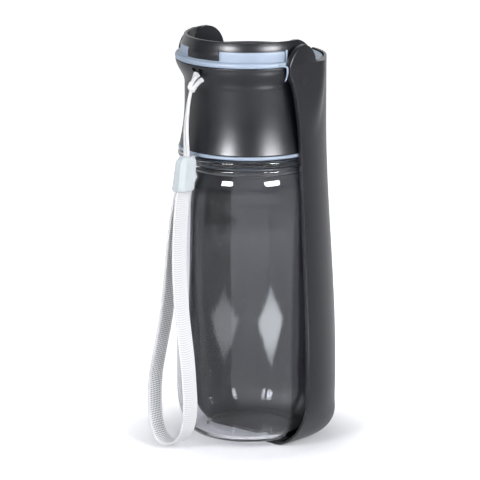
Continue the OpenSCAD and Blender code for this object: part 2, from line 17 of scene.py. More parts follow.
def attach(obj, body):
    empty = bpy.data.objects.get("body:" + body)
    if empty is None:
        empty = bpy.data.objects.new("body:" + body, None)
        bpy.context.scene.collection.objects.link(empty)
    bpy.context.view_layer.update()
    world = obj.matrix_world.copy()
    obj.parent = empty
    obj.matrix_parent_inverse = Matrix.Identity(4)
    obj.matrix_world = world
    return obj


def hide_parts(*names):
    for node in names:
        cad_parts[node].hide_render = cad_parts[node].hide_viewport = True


bl_info = {
    "name": "Travel Water Bottle",
    "version": (1, 0, 0),
    "blender": (4, 5, 0),
    "location": "3D View > Sidebar > Water Bottle",
    "description": "Builds the pieces, finishes and stage of a bottle with a folding trough",
    "category": "Object",
}

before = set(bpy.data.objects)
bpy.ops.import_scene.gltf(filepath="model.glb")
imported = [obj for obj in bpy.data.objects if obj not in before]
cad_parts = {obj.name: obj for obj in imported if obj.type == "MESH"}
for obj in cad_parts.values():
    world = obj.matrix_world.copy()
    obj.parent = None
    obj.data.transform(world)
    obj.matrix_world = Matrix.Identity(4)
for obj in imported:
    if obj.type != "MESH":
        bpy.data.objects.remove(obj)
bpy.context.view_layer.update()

MM = 1000.0
TURN = 2 * math.pi
CIRCLE = np.linspace(0, TURN, 193)  # angles once round the axis

# The strap's routes as in the CAD source, metres: the cord as points, the webbing as (X, height)
# in the upright plane that stands STRAP_OUT in front of the axis.
STRAP_OUT = 0.044
CORD_ROUTE = [
    (-0.0003, -0.0374, 0.195), (-0.0008, -0.0381, 0.1926), (-0.0012, -0.0386, 0.1903),
    (-0.0021, -0.0395, 0.1851), (-0.0026, -0.0406, 0.1795), (-0.0025, -0.0419, 0.173),
    (-0.0019, -0.0431, 0.1663), (-0.0011, -0.0438, 0.1605), (-0.00065, -0.044, 0.1555),
    (-0.00065, -0.044, 0.1525),
]
WEB_ROUTE = [
    (-0.00265, 0.136), (-0.0036, 0.1325), (-0.0044, 0.1275), (-0.0051, 0.121), (-0.0059, 0.11),
    (-0.0062, 0.1005), (-0.00595, 0.09), (-0.0052, 0.08), (-0.0039, 0.069), (-0.00215, 0.058),
    (-0.00055, 0.047), (0.0005, 0.036), (0.0011, 0.027), (0.00075, 0.0195), (-0.0011, 0.012),
    (-0.004, 0.0074), (-0.008, 0.0044), (-0.0126, 0.0032), (-0.017, 0.0037), (-0.0206, 0.0064),
    (-0.023, 0.0115), (-0.0241, 0.019), (-0.0243, 0.028), (-0.0233, 0.038), (-0.0212, 0.047),
    (-0.0187, 0.0565), (-0.016, 0.068), (-0.0139, 0.08), (-0.012, 0.093), (-0.0104, 0.1045),
    (-0.0089, 0.115), (-0.0072, 0.124), (-0.0056, 0.1303), (-0.0043, 0.136),
]
KNOT_AT = np.array([-1.5, -39.0, 187.6])

# Fixed places where pieces meet, millimetres. Radii and half widths are from the axis.
CLIP_X, CLIP_FOOT = -3.35, 135.5  # the middle and the height of the clip's foot
WALL_IN = 31.0  # inside of the basin's wall
WALL_OUT = 34.6  # outside of the basin's wall
SEAT = 33.4  # where the silicone is seated on the basin's wall
LUG_FACE = 31.6  # outer face of the lugs
BOSS_FACE = 35.2  # outer face of the pivot bosses, and the inner end of the cord's slot
EAR_FLAT = 35.1  # the flat in the collar beside each ear
LIP_FLAT = 35.7  # how far out the lip goes beside each ear
WINDOW = 5.1  # height of the window bands over the lip
TAB_END, WINDOW_END = 17.6, 76.0  # degrees from the front
BEYOND = 60.0  # past everything: how far out the cutters reach

# The trough's outline, millimetres
EDGE_RISE = 2.0  # its top edge over the hinge
BAND = 27.0  # how far under the hinge it keeps its top radius
BELLY = 130.0  # the height over which it then widens
SWEEP, SWEEP_POWER = 57.0, 2.6  # the mouth's forward sweep: its height and its power
END_FLAT = 20.0  # half width of the foot's end
END_WIDE, END_HIGH = 24.4, 33.0  # the rounding beside the foot
EAR_SHIFT = 2.6  # how far forward the ears' rear circle stands
EAR_PROUD = 0.35  # the ears' outer face over the top radius
LAP = 0.35  # the rounding along the mouth's rim


# Sizes and colours that a user would change


def size(name, default, description, top=0.3):
    """A length in metres."""
    return FloatProperty(
        name=name, default=default, min=0.0, max=top, unit="LENGTH", precision=4,
        description=description,
    )


def colour(name, default, description):
    """A linear colour."""
    return FloatVectorProperty(
        name=name, default=default, size=3, min=0.0, max=1.0, subtype="COLOR",
        description=description,
    )


def share(name, default, description, top=1.0):
    """A plain number from nothing to its top."""
    return FloatProperty(name=name, default=default, min=0.0, max=top, description=description)


class BottleSizes(bpy.types.PropertyGroup):
    radius: size("Radius", 0.037, "Radius of the clear body")
    base: size("Base height", 0.0045, "Height of the body's base over the floor")
    height: size("Height", 0.1475, "Height from the base to the shoulder flange")
    wall: size("Wall", 0.0014, "Wall of the body")
    floor: size("Base thickness", 0.0024, "Thickness of the base at its middle")
    round_width: size("Base rounding width", 0.0105, "Width of the rounding of the base")
    round_height: size("Base rounding height", 0.0245, "Height of the rounding of the base")
    neck: size("Neck radius", 0.027, "Outer radius of the neck")
    neck_height: size("Neck height", 0.026, "Height of the neck over the flange")
    gasket: size("Gasket", 0.0017, "Thickness of the ring between bottle and collar")


class HeadSizes(bpy.types.PropertyGroup):
    collar_low: size("Collar bottom", 0.1537, "Height of the collar's bottom edge")
    collar_top: size("Collar top", 0.1982, "Height of the collar's top edge")
    waist: size("Waist radius", 0.0325, "Radius of the collar at its waist")
    low_radius: size("Bottom radius", 0.0353, "Radius of the collar's bottom edge")
    top_radius: size("Top radius", 0.0371, "Radius of the collar's top edge")
    wall: size("Wall", 0.0018, "Wall of the collar")
    flare: size("Flare", 0.0122, "Height of the flare under the top edge")
    rim_top: size("Basin top", 0.2105, "Height of the basin wall's top edge")
    lip: size("Lip", 0.0027, "Thickness of the silicone lip")
    hinge: size("Hinge height", 0.1975, "Height of the hinge axis")
    lug: size("Lug radius", 0.013, "Radius of the lugs")
    lug_thickness: size("Lug thickness", 0.0018, "Thickness of the lugs")
    hub: size("Hub radius", 0.0055, "Radius of the hub inside each lug")
    hub_height: size("Hub height", 0.0038, "Height of the hub inside each lug")
    boss: size("Boss radius", 0.007, "Radius of the pivot bosses")


class TroughSizes(bpy.types.PropertyGroup):
    top_radius: size("Top radius", 0.03895, "Outer radius at the top edge")
    low_radius: size("Belly radius", 0.0444, "Outer radius of the lower half")
    wall: size("Wall", 0.0022, "Wall of the lower half")
    end_wall: size("End wall", 0.0012, "Wall at the rounded corners beside the foot")
    lip_wall: size("Top wall", 0.0013, "Wall at the top edge")
    foot: size("Foot", 0.0023, "Thickness of the foot")
    corner: size("Corner", 0.016, "Radius between back and foot")
    ear: size("Ear radius", 0.0114, "Radius of the ears")
    ear_back: size("Ear rear radius", 0.00975, "Radius of the ears' rear outline")
    ear_thickness: size("Ear thickness", 0.0033, "Thickness of the ears")
    mouth: size("Mouth", 0.0026, "How far the mouth's edge passes the axis")


class StrapSizes(bpy.types.PropertyGroup):
    cord: size("Cord", 0.0032, "Diameter of the doubled cord")
    strand: size("Strand", 0.0017, "Diameter of one strand")
    web_width: size("Webbing width", 0.01, "Width of the webbing")
    web_thickness: size("Webbing thickness", 0.0012, "Thickness of the webbing")
    mesh_pitch: size("Mesh pitch", 0.00118, "Distance between two rows of the mesh")
    clip_width: size("Clip width", 0.0116, "Width of the clip")
    clip_height: size("Clip height", 0.018, "Height of the clip")
    clip_thickness: size("Clip thickness", 0.0084, "Thickness of the clip")
    clip_bevel: size("Clip bevel", 0.0022, "Bevel along the clip's corners")
    clip_lean: size("Clip lean", 0.0027, "How far the clip's top stands aside of its foot")


class Finishes(bpy.types.PropertyGroup):
    black: colour("Black plastic", (0.0082, 0.0085, 0.0112), "Moulded black plastic")
    black_roughness: share("Black roughness", 0.3, "Roughness of the black plastic")
    silicone: colour("Silicone", (0.32, 0.385, 0.475), "Pale blue silicone")
    clear: colour("Clear plastic", (0.92, 0.925, 0.95), "Clear bottle plastic")
    white: colour("White plastic", (0.72, 0.73, 0.74), "Inner white plastic")
    steel: colour("Steel", (0.6, 0.6, 0.62), "Pins and springs")
    cord: colour("Cord", (0.74, 0.74, 0.74), "Braided cord")
    webbing: colour("Webbing", (0.72, 0.72, 0.72), "Woven webbing")
    frosted: colour("Frosted plastic", (0.74, 0.785, 0.795), "Frosted clip")


class StageSettings(bpy.types.PropertyGroup):
    azimuth: FloatProperty(
        name="Azimuth", default=math.radians(44), subtype="ANGLE", unit="ROTATION",
        description="How far the camera stands round from the front",
    )
    elevation: FloatProperty(
        name="Elevation", default=math.radians(13.26), subtype="ANGLE", unit="ROTATION",
        description="How far the camera stands above the horizon",
    )
    distance: size("Distance", 1.6075, "From the camera to the point it looks at", top=5.0)
    lens: FloatProperty(
        name="Lens", default=236.8, min=10, max=600, subtype="DISTANCE_CAMERA",
        description="Focal length in millimetres",
    )
    left_lamp: share("Left lamp", 8.6, "Power of the left softbox in watts", top=200)
    right_lamp: share("Right lamp", 11.4, "Power of the right softbox in watts", top=200)
    sky: share("Sky", 0.31, "Strength of the even light", top=3)
    low_lamps: share("Low reflectors", 14.0, "Strength of the small low reflectors", top=50)
    floor: colour("Floor", (0.8, 0.8, 0.815), "Floor")
    glare: share("Glare", 2.4, "How much stronger the softboxes are in gloss", top=10)
    floor_glow: share("Floor glow", 0.15, "White added to the floor for the camera", top=2)


GROUPS = {
    "bottle_sizes": BottleSizes,
    "head_sizes": HeadSizes,
    "trough_sizes": TroughSizes,
    "strap_sizes": StrapSizes,
    "finishes": Finishes,
    "stage_settings": StageSettings,
}


# Outlines and surfaces


def millimetres(group):
    """The sizes of a property group in millimetres, by name."""
    return SimpleNamespace(**{k: getattr(group, k) * MM for k in type(group).__annotations__})


def ease(t):
    """A step from 0 to 1 with level ends: 3 t squared less 2 t cubed, held outside 0 to 1."""
    u = np.clip(t, 0, 1)
    return u * u * (3 - 2 * u)


def arc(centre, radii, start, end, steps):
    """Points on an ellipse, as (distance, height): centre plus radii times cosine and sine."""
    a = np.radians(np.linspace(start, end, steps + 1))
    return np.stack([centre[0] + radii[0] * np.cos(a), centre[1] + radii[1] * np.sin(a)], 1)


def chain(*parts):
    """Several runs of points joined into one outline."""
    return np.concatenate([np.atleast_2d(np.asarray(p, float)) for p in parts])


def closed(outline):
    """The outline with its first point again at the end."""
    return np.concatenate([outline, outline[:1]])


def curve(points, steps):
    """A smooth line through points: each stretch is the cubic whose slope at a point is half the
    way between that point's two neighbours."""
    p = np.asarray(points, float)
    p = np.concatenate([p[:1], p, p[-1:]])
    t = (np.arange(steps) / steps)[None, :, None]
    a, b, c, d = (p[i:len(p) - 3 + i][:, None] for i in range(4))
    line = 0.5 * (2 * b + (c - a) * t + (2 * a - 5 * b + 4 * c - d) * t**2
                  + (3 * b - a - 3 * c + d) * t**3)
    return np.concatenate([line.reshape(-1, p.shape[1]), p[-1:]])


def run_along(line):
    """How far along the line each of its points lies."""
    return np.concatenate([[0], np.cumsum(np.linalg.norm(np.diff(line, axis=0), axis=1))])


def even(line, step):
    """The same line with points an even step apart along it."""
    run = run_along(line)
    at = np.linspace(0, run[-1], max(2, int(round(run[-1] / step)) + 1))
    return np.stack([np.interp(at, run, line[:, k]) for k in range(line.shape[1])], 1)


def round_axis(r, a, z):
    """Points round the bottle's axis, at angle a from the front: (r sin a, -r cos a, z)."""
    return np.stack(np.broadcast_arrays(r * np.sin(a), -r * np.cos(a), z), -1)


def turned(outline, angles):
    """Carries (radius, height) round the bottle's axis to each angle."""
    return round_axis(outline[None, :, 0], np.asarray(angles)[:, None], outline[None, :, 1])


def turned_about_hinge(outline, hinge, side, steps):
    """Carries (radius, distance along X) round the hinge axis, on the side that side's sign
    gives: (side x, r cos a, hinge + r sin a)."""
    a = np.linspace(0, TURN, steps + 1)[:, None]
    r, x = outline[None, :, 0], outline[None, :, 1]
    return np.stack([side * x + 0 * a, r * np.cos(a), hinge + r * np.sin(a)], -1)


def disc_outline(radius, low, high, rounding):
    """Half section of a round plate from x = low to high, with rounded edges."""
    return chain(
        [(0, low)],
        arc((radius - rounding, low + rounding), (rounding, rounding), -90, 0, 5),
        arc((radius - rounding, high - rounding), (rounding, rounding), 0, 90, 5),
        [(0, high)],
    )


def across(line, side):
    """Two unit directions across a line at each point: the line's direction crossed with side,
    and the one that stands square to that and to the line."""
    along = np.gradient(line, axis=0)
    along /= np.linalg.norm(along, axis=1)[:, None]
    first = np.cross(along, np.broadcast_to(side, line.shape))
    first /= np.linalg.norm(first, axis=1)[:, None]
    return first, np.cross(first, along)


def tube(line, radius, side, sides):
    """A round tube: at each point of the line, radius times the cosine and sine of the angle
    along the two directions across it."""
    first, second = across(line, side)
    a = np.linspace(0, TURN, sides + 1)[None, :, None]
    r = np.broadcast_to(np.asarray(radius, float).reshape(-1, 1, 1), (len(line), 1, 1))
    return line[:, None] + r * (np.cos(a) * second[:, None] + np.sin(a) * first[:, None])


def strap_point(x, height, behind):
    """A point at X and a height, some millimetres behind the strap's upright plane."""
    return np.stack(np.broadcast_arrays(x, behind - STRAP_OUT * MM, height), -1)


def outward(azimuth, elevation):
    """The way out from the object, (sin az cos el, -cos az cos el, sin el): the azimuth is
    counted from the front and the elevation from the horizon, in radians."""
    return Vector((math.sin(azimuth) * math.cos(elevation),
                   -math.cos(azimuth) * math.cos(elevation), math.sin(elevation)))


class Shape:
    """The surfaces of one piece, in millimetres, gathered grid by grid."""

    def __init__(self):
        self.points, self.faces, self.maps, self.count = [], [], [], 0

    def add(self, grid, uv=None, ends=False):
        """A surface of four-sided faces on a grid of points. With ends, its first and last rows
        are closed by a flat face each."""
        rows, columns = grid.shape[:2]
        at = np.arange(rows * columns).reshape(rows, columns) + self.count
        quads = np.stack([at[:-1, :-1], at[1:, :-1], at[1:, 1:], at[:-1, 1:]], -1)
        self.faces += quads.reshape(-1, 4).tolist()
        if ends:
            self.faces += [at[0, :-1].tolist(), at[-1, :-1][::-1].tolist()]
        self.points.append(grid.reshape(-1, 3))
        self.maps.append(np.zeros((rows * columns, 2)) if uv is None else uv.reshape(-1, 2))
        self.count += rows * columns
        return self

    def face(self, points):
        """One flat face round points."""
        self.faces.append(list(range(self.count, self.count + len(points))))
        self.points.append(points)
        self.maps.append(np.zeros((len(points), 2)))
        self.count += len(points)

    def mesh(self, name):
        """A mesh in metres, its doubled points merged and its faces turned outwards."""
        points = np.concatenate(self.points) / MM
        uv = np.concatenate(self.maps)
        mesh = bpy.data.meshes.new(name)
        mesh.from_pydata(points.tolist(), [], self.faces)
        corners = np.zeros(len(mesh.loops), np.int32)
        mesh.loops.foreach_get("vertex_index", corners)
        layer = mesh.uv_layers.new(name="UVMap")
        layer.data.foreach_set("uv", uv[corners].astype(np.float32).ravel())
        work = bmesh.new()
        work.from_mesh(mesh)
        bmesh.ops.remove_doubles(work, verts=work.verts, dist=2e-6)
        bmesh.ops.dissolve_degenerate(work, edges=work.edges, dist=1e-7)
        bmesh.ops.recalc_face_normals(work, faces=work.faces)
        work.to_mesh(mesh)
        work.free()
        return mesh


def thing(name, data):
    """A new object in the scene that holds a mesh, a lamp or a camera."""
    made = bpy.data.objects.new(name, data)
    bpy.context.scene.collection.objects.link(made)
    return made


def cut(mesh, cutters):
    """The mesh with the cutters' shapes taken away."""
    body = thing("cut_body", mesh)
    tools = [thing("cutter", c.mesh("cutter")) for c in cutters]
    for tool in tools:
        step = body.modifiers.new("cut", "BOOLEAN")
        step.operation = "DIFFERENCE"
        step.solver = "EXACT"
        step.object = tool
    bpy.context.view_layer.update()
    result = bpy.data.meshes.new_from_object(
        body.evaluated_get(bpy.context.evaluated_depsgraph_get())
    )
    for made in [body, *tools]:
        bpy.data.objects.remove(made)
    return result


def merged(meshes, name):
    """Several meshes as one."""
    work = bmesh.new()
    for mesh in meshes:
        work.from_mesh(mesh)
    made = bpy.data.meshes.new(name)
    work.to_mesh(made)
    work.free()
    return made


def block(low, high):
    """A closed box between two corners, as a cutter."""
    x, y, z = zip(low, high)
    ring = closed(np.array([(x[0], y[0]), (x[1], y[0]), (x[1], y[1]), (x[0], y[1])]))
    grid = np.stack([np.column_stack([ring, np.full(5, h)]) for h in z])
    return Shape().add(grid, ends=True)


def pipe_cutter(radius, hinge, low, high, side):
    """A closed cylinder about the hinge axis, as a cutter."""
    outline = np.array([(0, low), (radius, low), (radius, high), (0, high)], float)
    return Shape().add(turned_about_hinge(outline, hinge, side, 128))


def piece(name, mesh, material, body, nodes, sharp=35):
    """Puts a finished mesh in the scene: smooth but for edges sharper than sharp degrees, with
    its material, riding on a body and standing for its CAD nodes."""
    mesh.name = name
    mesh.materials.clear()
    mesh.materials.append(bpy.data.materials[material])
    mesh.shade_smooth()
    mesh.set_sharp_from_angle(angle=math.radians(sharp))
    made = thing(name, mesh)
    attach(made, body)
    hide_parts(*nodes)
    return made


def skin(name, grid):
    """A mesh of one grid of points."""
    return Shape().add(grid).mesh(name)


def solid(name, grid, uv=None):
    """A mesh of one grid of points, closed at both ends by a flat face."""
    return Shape().add(grid, uv, ends=True).mesh(name)


# Node maths


def maths(operation, swapped=False):
    """A method that adds the Math node of an operation."""
    def method(self, *others):
        values = (*others, self) if swapped else (self, *others)
        return self.net.node("ShaderNodeMath", dict(enumerate(values)), operation=operation)
    return method


class Value:
    """A socket in an expression: each operator adds the Math node that it names."""

    def __init__(self, net, socket):
        self.net, self.socket = net, socket

    __add__ = __radd__ = maths("ADD")
    __sub__ = maths("SUBTRACT")
    __rsub__ = maths("SUBTRACT", swapped=True)
    __mul__ = maths("MULTIPLY")
    __truediv__ = maths("DIVIDE")
    __pow__ = maths("POWER")
    __abs__ = maths("ABSOLUTE")
    sine = maths("SINE")
    most = maths("MAXIMUM")
    over = maths("GREATER_THAN")

    def between(self, low, high):
        """Eased from 0 to 1 while the value goes from low to high."""
        return self.net.node("ShaderNodeMapRange",
                             {"Value": self, "From Min": low, "From Max": high},
                             interpolation_type="SMOOTHSTEP")


class Net:
    """The nodes of one new material, or of a world."""

    def __init__(self, name, kind="materials"):
        self.owner = getattr(bpy.data, kind).new(name)
        self.owner.use_nodes = True
        self.tree = self.owner.node_tree
        self.tree.nodes.clear()

    def node(self, kind, inputs=None, out=0, **settings):
        """A node of a kind: its settings first, then its sockets' values or links. What comes
        back is its output number or name out."""
        made = self.tree.nodes.new(kind)
        for name, value in settings.items():
            setattr(made, name, value)
        for key, value in (inputs or {}).items():
            if isinstance(value, Value):
                self.tree.links.new(value.socket, made.inputs[key])
            else:
                made.inputs[key].default_value = value
        return Value(self, made.outputs[out] if made.outputs else None)

    def place(self):
        return self.node("ShaderNodeTexCoord", out="Object")

    def noise(self, scale, detail):
        """Soft noise from 0 to 1, scale features to the metre."""
        inputs = {"Vector": self.place(), "Scale": scale, "Detail": detail}
        return self.node("ShaderNodeTexNoise", inputs, out="Fac")

    def axes(self, vector):
        """The three numbers of a vector."""
        split = self.node("ShaderNodeSeparateXYZ", {0: vector})
        return [Value(self, s) for s in split.socket.node.outputs]

    def rays(self, *kinds):
        """For each kind of ray, 1 where the surface is seen by one, or else 0."""
        outputs = self.node("ShaderNodeLightPath").socket.node.outputs
        return [Value(self, outputs[f"Is {kind} Ray"]) for kind in kinds]

    def blend(self, factor, low, high):
        """A colour between two."""
        def full(c):
            return c if isinstance(c, Value) else (*c, 1.0)
        inputs = {0: factor, 6: full(low), 7: full(high)}
        return self.node("ShaderNodeMix", inputs, out=2, data_type="RGBA")

    def bump(self, height, strength, distance):
        inputs = {"Height": height, "Strength": strength, "Distance": distance}
        return self.node("ShaderNodeBump", inputs)

    def glow(self, tone, strength):
        return self.node("ShaderNodeEmission", {"Color": tone, "Strength": strength})

    def mix(self, factor, low, high):
        """A shader between two."""
        return self.node("ShaderNodeMixShader", {0: factor, 1: low, 2: high})

    def surface(self, shader):
        """Joins a shader to the material's output."""
        self.node("ShaderNodeOutputMaterial", {"Surface": shader})

    def finish(self, **sockets):
        """A Principled shader with these sockets, joined to the material's output."""
        names = {key.replace("_", " "): value for key, value in sockets.items()}
        self.surface(self.node("ShaderNodeBsdfPrincipled", names))


def tint(c, k):
    """A colour made k times as bright."""
    return tuple(min(1.0, v * k) for v in c)


def moulded(name, base, roughness, grain=1.0):
    """Moulded plastic: a fine spark texture, with slow drifts of tone and gloss."""
    net = Net(name)
    fine = net.noise(2600, 2)
    cloud = net.noise(38, 4)
    rub = net.noise(160, 5)
    paint = net.blend(cloud, tint(base, 0.86), tint(base, 1.16))
    gloss = roughness + (cloud - 0.5) * 0.1 + (rub - 0.5) * 0.06 + (fine - 0.5) * 0.06
    net.finish(
        Base_Color=paint, Roughness=gloss, IOR=1.5,
        Normal=net.bump(fine, 0.05 * grain, 0.00004),
    )


def rubbery(name, base):
    """Silicone: satin, a little light goes in, with faint cloudy tone."""
    net = Net(name)
    fine = net.noise(1900, 2)
    cloud = net.noise(60, 3)
    paint = net.blend(cloud, tint(base, 0.93), tint(base, 1.06))
    net.finish(
        Base_Color=paint, Roughness=0.42 + (cloud - 0.5) * 0.12, IOR=1.43,
        Subsurface_Weight=0.18, Subsurface_Radius=(0.9, 1.0, 1.2), Subsurface_Scale=0.0012,
        Normal=net.bump(fine, 0.1, 0.00005),
    )


def clear_plastic(name, base):
    """Clear bottle plastic: see-through, with slow waves of the mould and faint handling marks."""
    net = Net(name)
    waves = net.noise(24, 1)
    marks = net.noise(420, 4)
    haze = marks.between(0.62, 0.8) * 0.05
    net.finish(
        Base_Color=(*base, 1.0), Roughness=haze + 0.012, IOR=1.43, Transmission_Weight=1.0,
        Normal=net.bump(waves, 0.12, 0.0006),
    )


def frosted(name, base):
    """Frosted clip plastic: milky, soft inside, with a fine grain."""
    net = Net(name)
    fine = net.noise(1500, 3)
    cloud = net.noise(180, 3)
    net.finish(
        Base_Color=net.blend(cloud, tint(base, 0.94), tint(base, 1.05)),
        Roughness=0.24 + (fine - 0.5) * 0.12, IOR=1.49, Transmission_Weight=0.45,
        Subsurface_Weight=0.25, Subsurface_Radius=(1.0, 1.1, 1.2), Subsurface_Scale=0.002,
        Normal=net.bump(fine, 0.12, 0.00008),
    )


def metal(name, base):
    """Drawn steel: fine grain in its gloss and a slower drift of tone."""
    net = Net(name)
    grain = net.noise(3000, 2)
    net.finish(
        Base_Color=net.blend(net.noise(300, 2), tint(base, 0.85), tint(base, 1.1)),
        Metallic=1.0, Roughness=0.26 + grain * 0.16, Normal=net.bump(grain, 0.1, 0.00003),
    )


def braided(name, base):
    """Braided cord on the strand's own map, u round it and v along it in millimetres: two sets
    of slanting ribs, the higher one showing, with painted shade between them, and a fine fibre
    grain."""
    net = Net(name)
    u, v, _ = net.axes(net.node("ShaderNodeUVMap", uv_map="UVMap"))
    round_it, along_it = u * (4 * TURN), v * (TURN / 1.15)
    one = abs((round_it + along_it).sine())
    two = abs((round_it - along_it).sine())
    ribs = one.most(two) ** 0.6
    valley = (one * two) ** 0.5
    fibre = net.noise(5200, 3)
    # Painted shade: between the ribs the colour falls to about half of the base
    colour_with_painted_shade = net.blend(ribs * 0.7 + valley * 0.3, tint(base, 0.52), base)
    net.finish(
        Base_Color=colour_with_painted_shade, Roughness=0.78 + (fibre - 0.5) * 0.2,
        Sheen_Weight=0.3, Sheen_Roughness=0.5,
        Normal=net.bump(ribs + fibre * 0.25, 0.7, 0.00018),
    )


def woven(name, base, pitch):
    """Webbing on its own map, u round the strip (0 to 1 the loop's inside, 1 to 2 its outside)
    and v along it in millimetres: the inside is a mesh of small holes between ribs, the outside
    a close rib with shallow curved rows. Painted shade darkens the holes and the grooves between
    the rows."""
    net = Net(name)
    u, v, _ = net.axes(net.node("ShaderNodeUVMap", uv_map="UVMap"))
    outside = u.over(1.0)
    row = v * (TURN / 2 / pitch)
    column = u * (TURN / 2 * 8.0)
    # Inside: a hole where both a row wave and a column wave are high, but not at the edges
    holes = (abs(row.sine()) * abs(column.sine())).between(0.46, 0.7)
    border = (abs(u - 0.5) - 0.44).between(-0.015, 0.015)
    holes = holes * (1 - border)
    # Outside: rows that bow along the strip
    bow = (u - 1.5) * (u - 1.5) * 3.2
    arcs = abs(((v + bow) * (TURN / 2 / pitch)).sine())
    lines = (1 - arcs).between(0.55, 0.95)
    yarn = net.noise(5200, 3)
    depth = (1 - holes) * (1 - outside) + (1 - lines * 0.45) * outside
    # Painted shade: in the holes the colour falls to a fifth of the base, in the grooves between
    # the rows to a little over half
    painted_shade_mask = holes * (1 - outside) + lines * outside * 0.55
    thread = net.blend(outside, tint(base, 1.36), base)
    colour_with_painted_shade = net.blend(painted_shade_mask, thread, tint(base, 0.2))
    net.finish(
        Base_Color=colour_with_painted_shade, Roughness=0.72 + (yarn - 0.5) * 0.2,
        Sheen_Weight=0.25, Sheen_Roughness=0.5,
        Normal=net.bump(depth + yarn * 0.2, 0.6, 0.00022),
    )


class FinishMaterials(bpy.types.Operator):
    """Makes every finish of the bottle"""

    bl_idname = "bottle.finishes"
    bl_label = "Finishes"

    def execute(self, context):
        f = context.scene.finishes
        moulded("moulded black plastic", f.black, f.black_roughness)
        moulded("moulded white plastic", f.white, 0.4, 0.7)
        rubbery("pale blue silicone", f.silicone)
        clear_plastic("clear bottle plastic", f.clear)
        frosted("frosted clip plastic", f.frosted)
        metal("drawn steel", f.steel)
        braided("braided cord", f.cord)
        woven("woven webbing", f.webbing, context.scene.strap_sizes.mesh_pitch * MM)
        return {"FINISHED"}


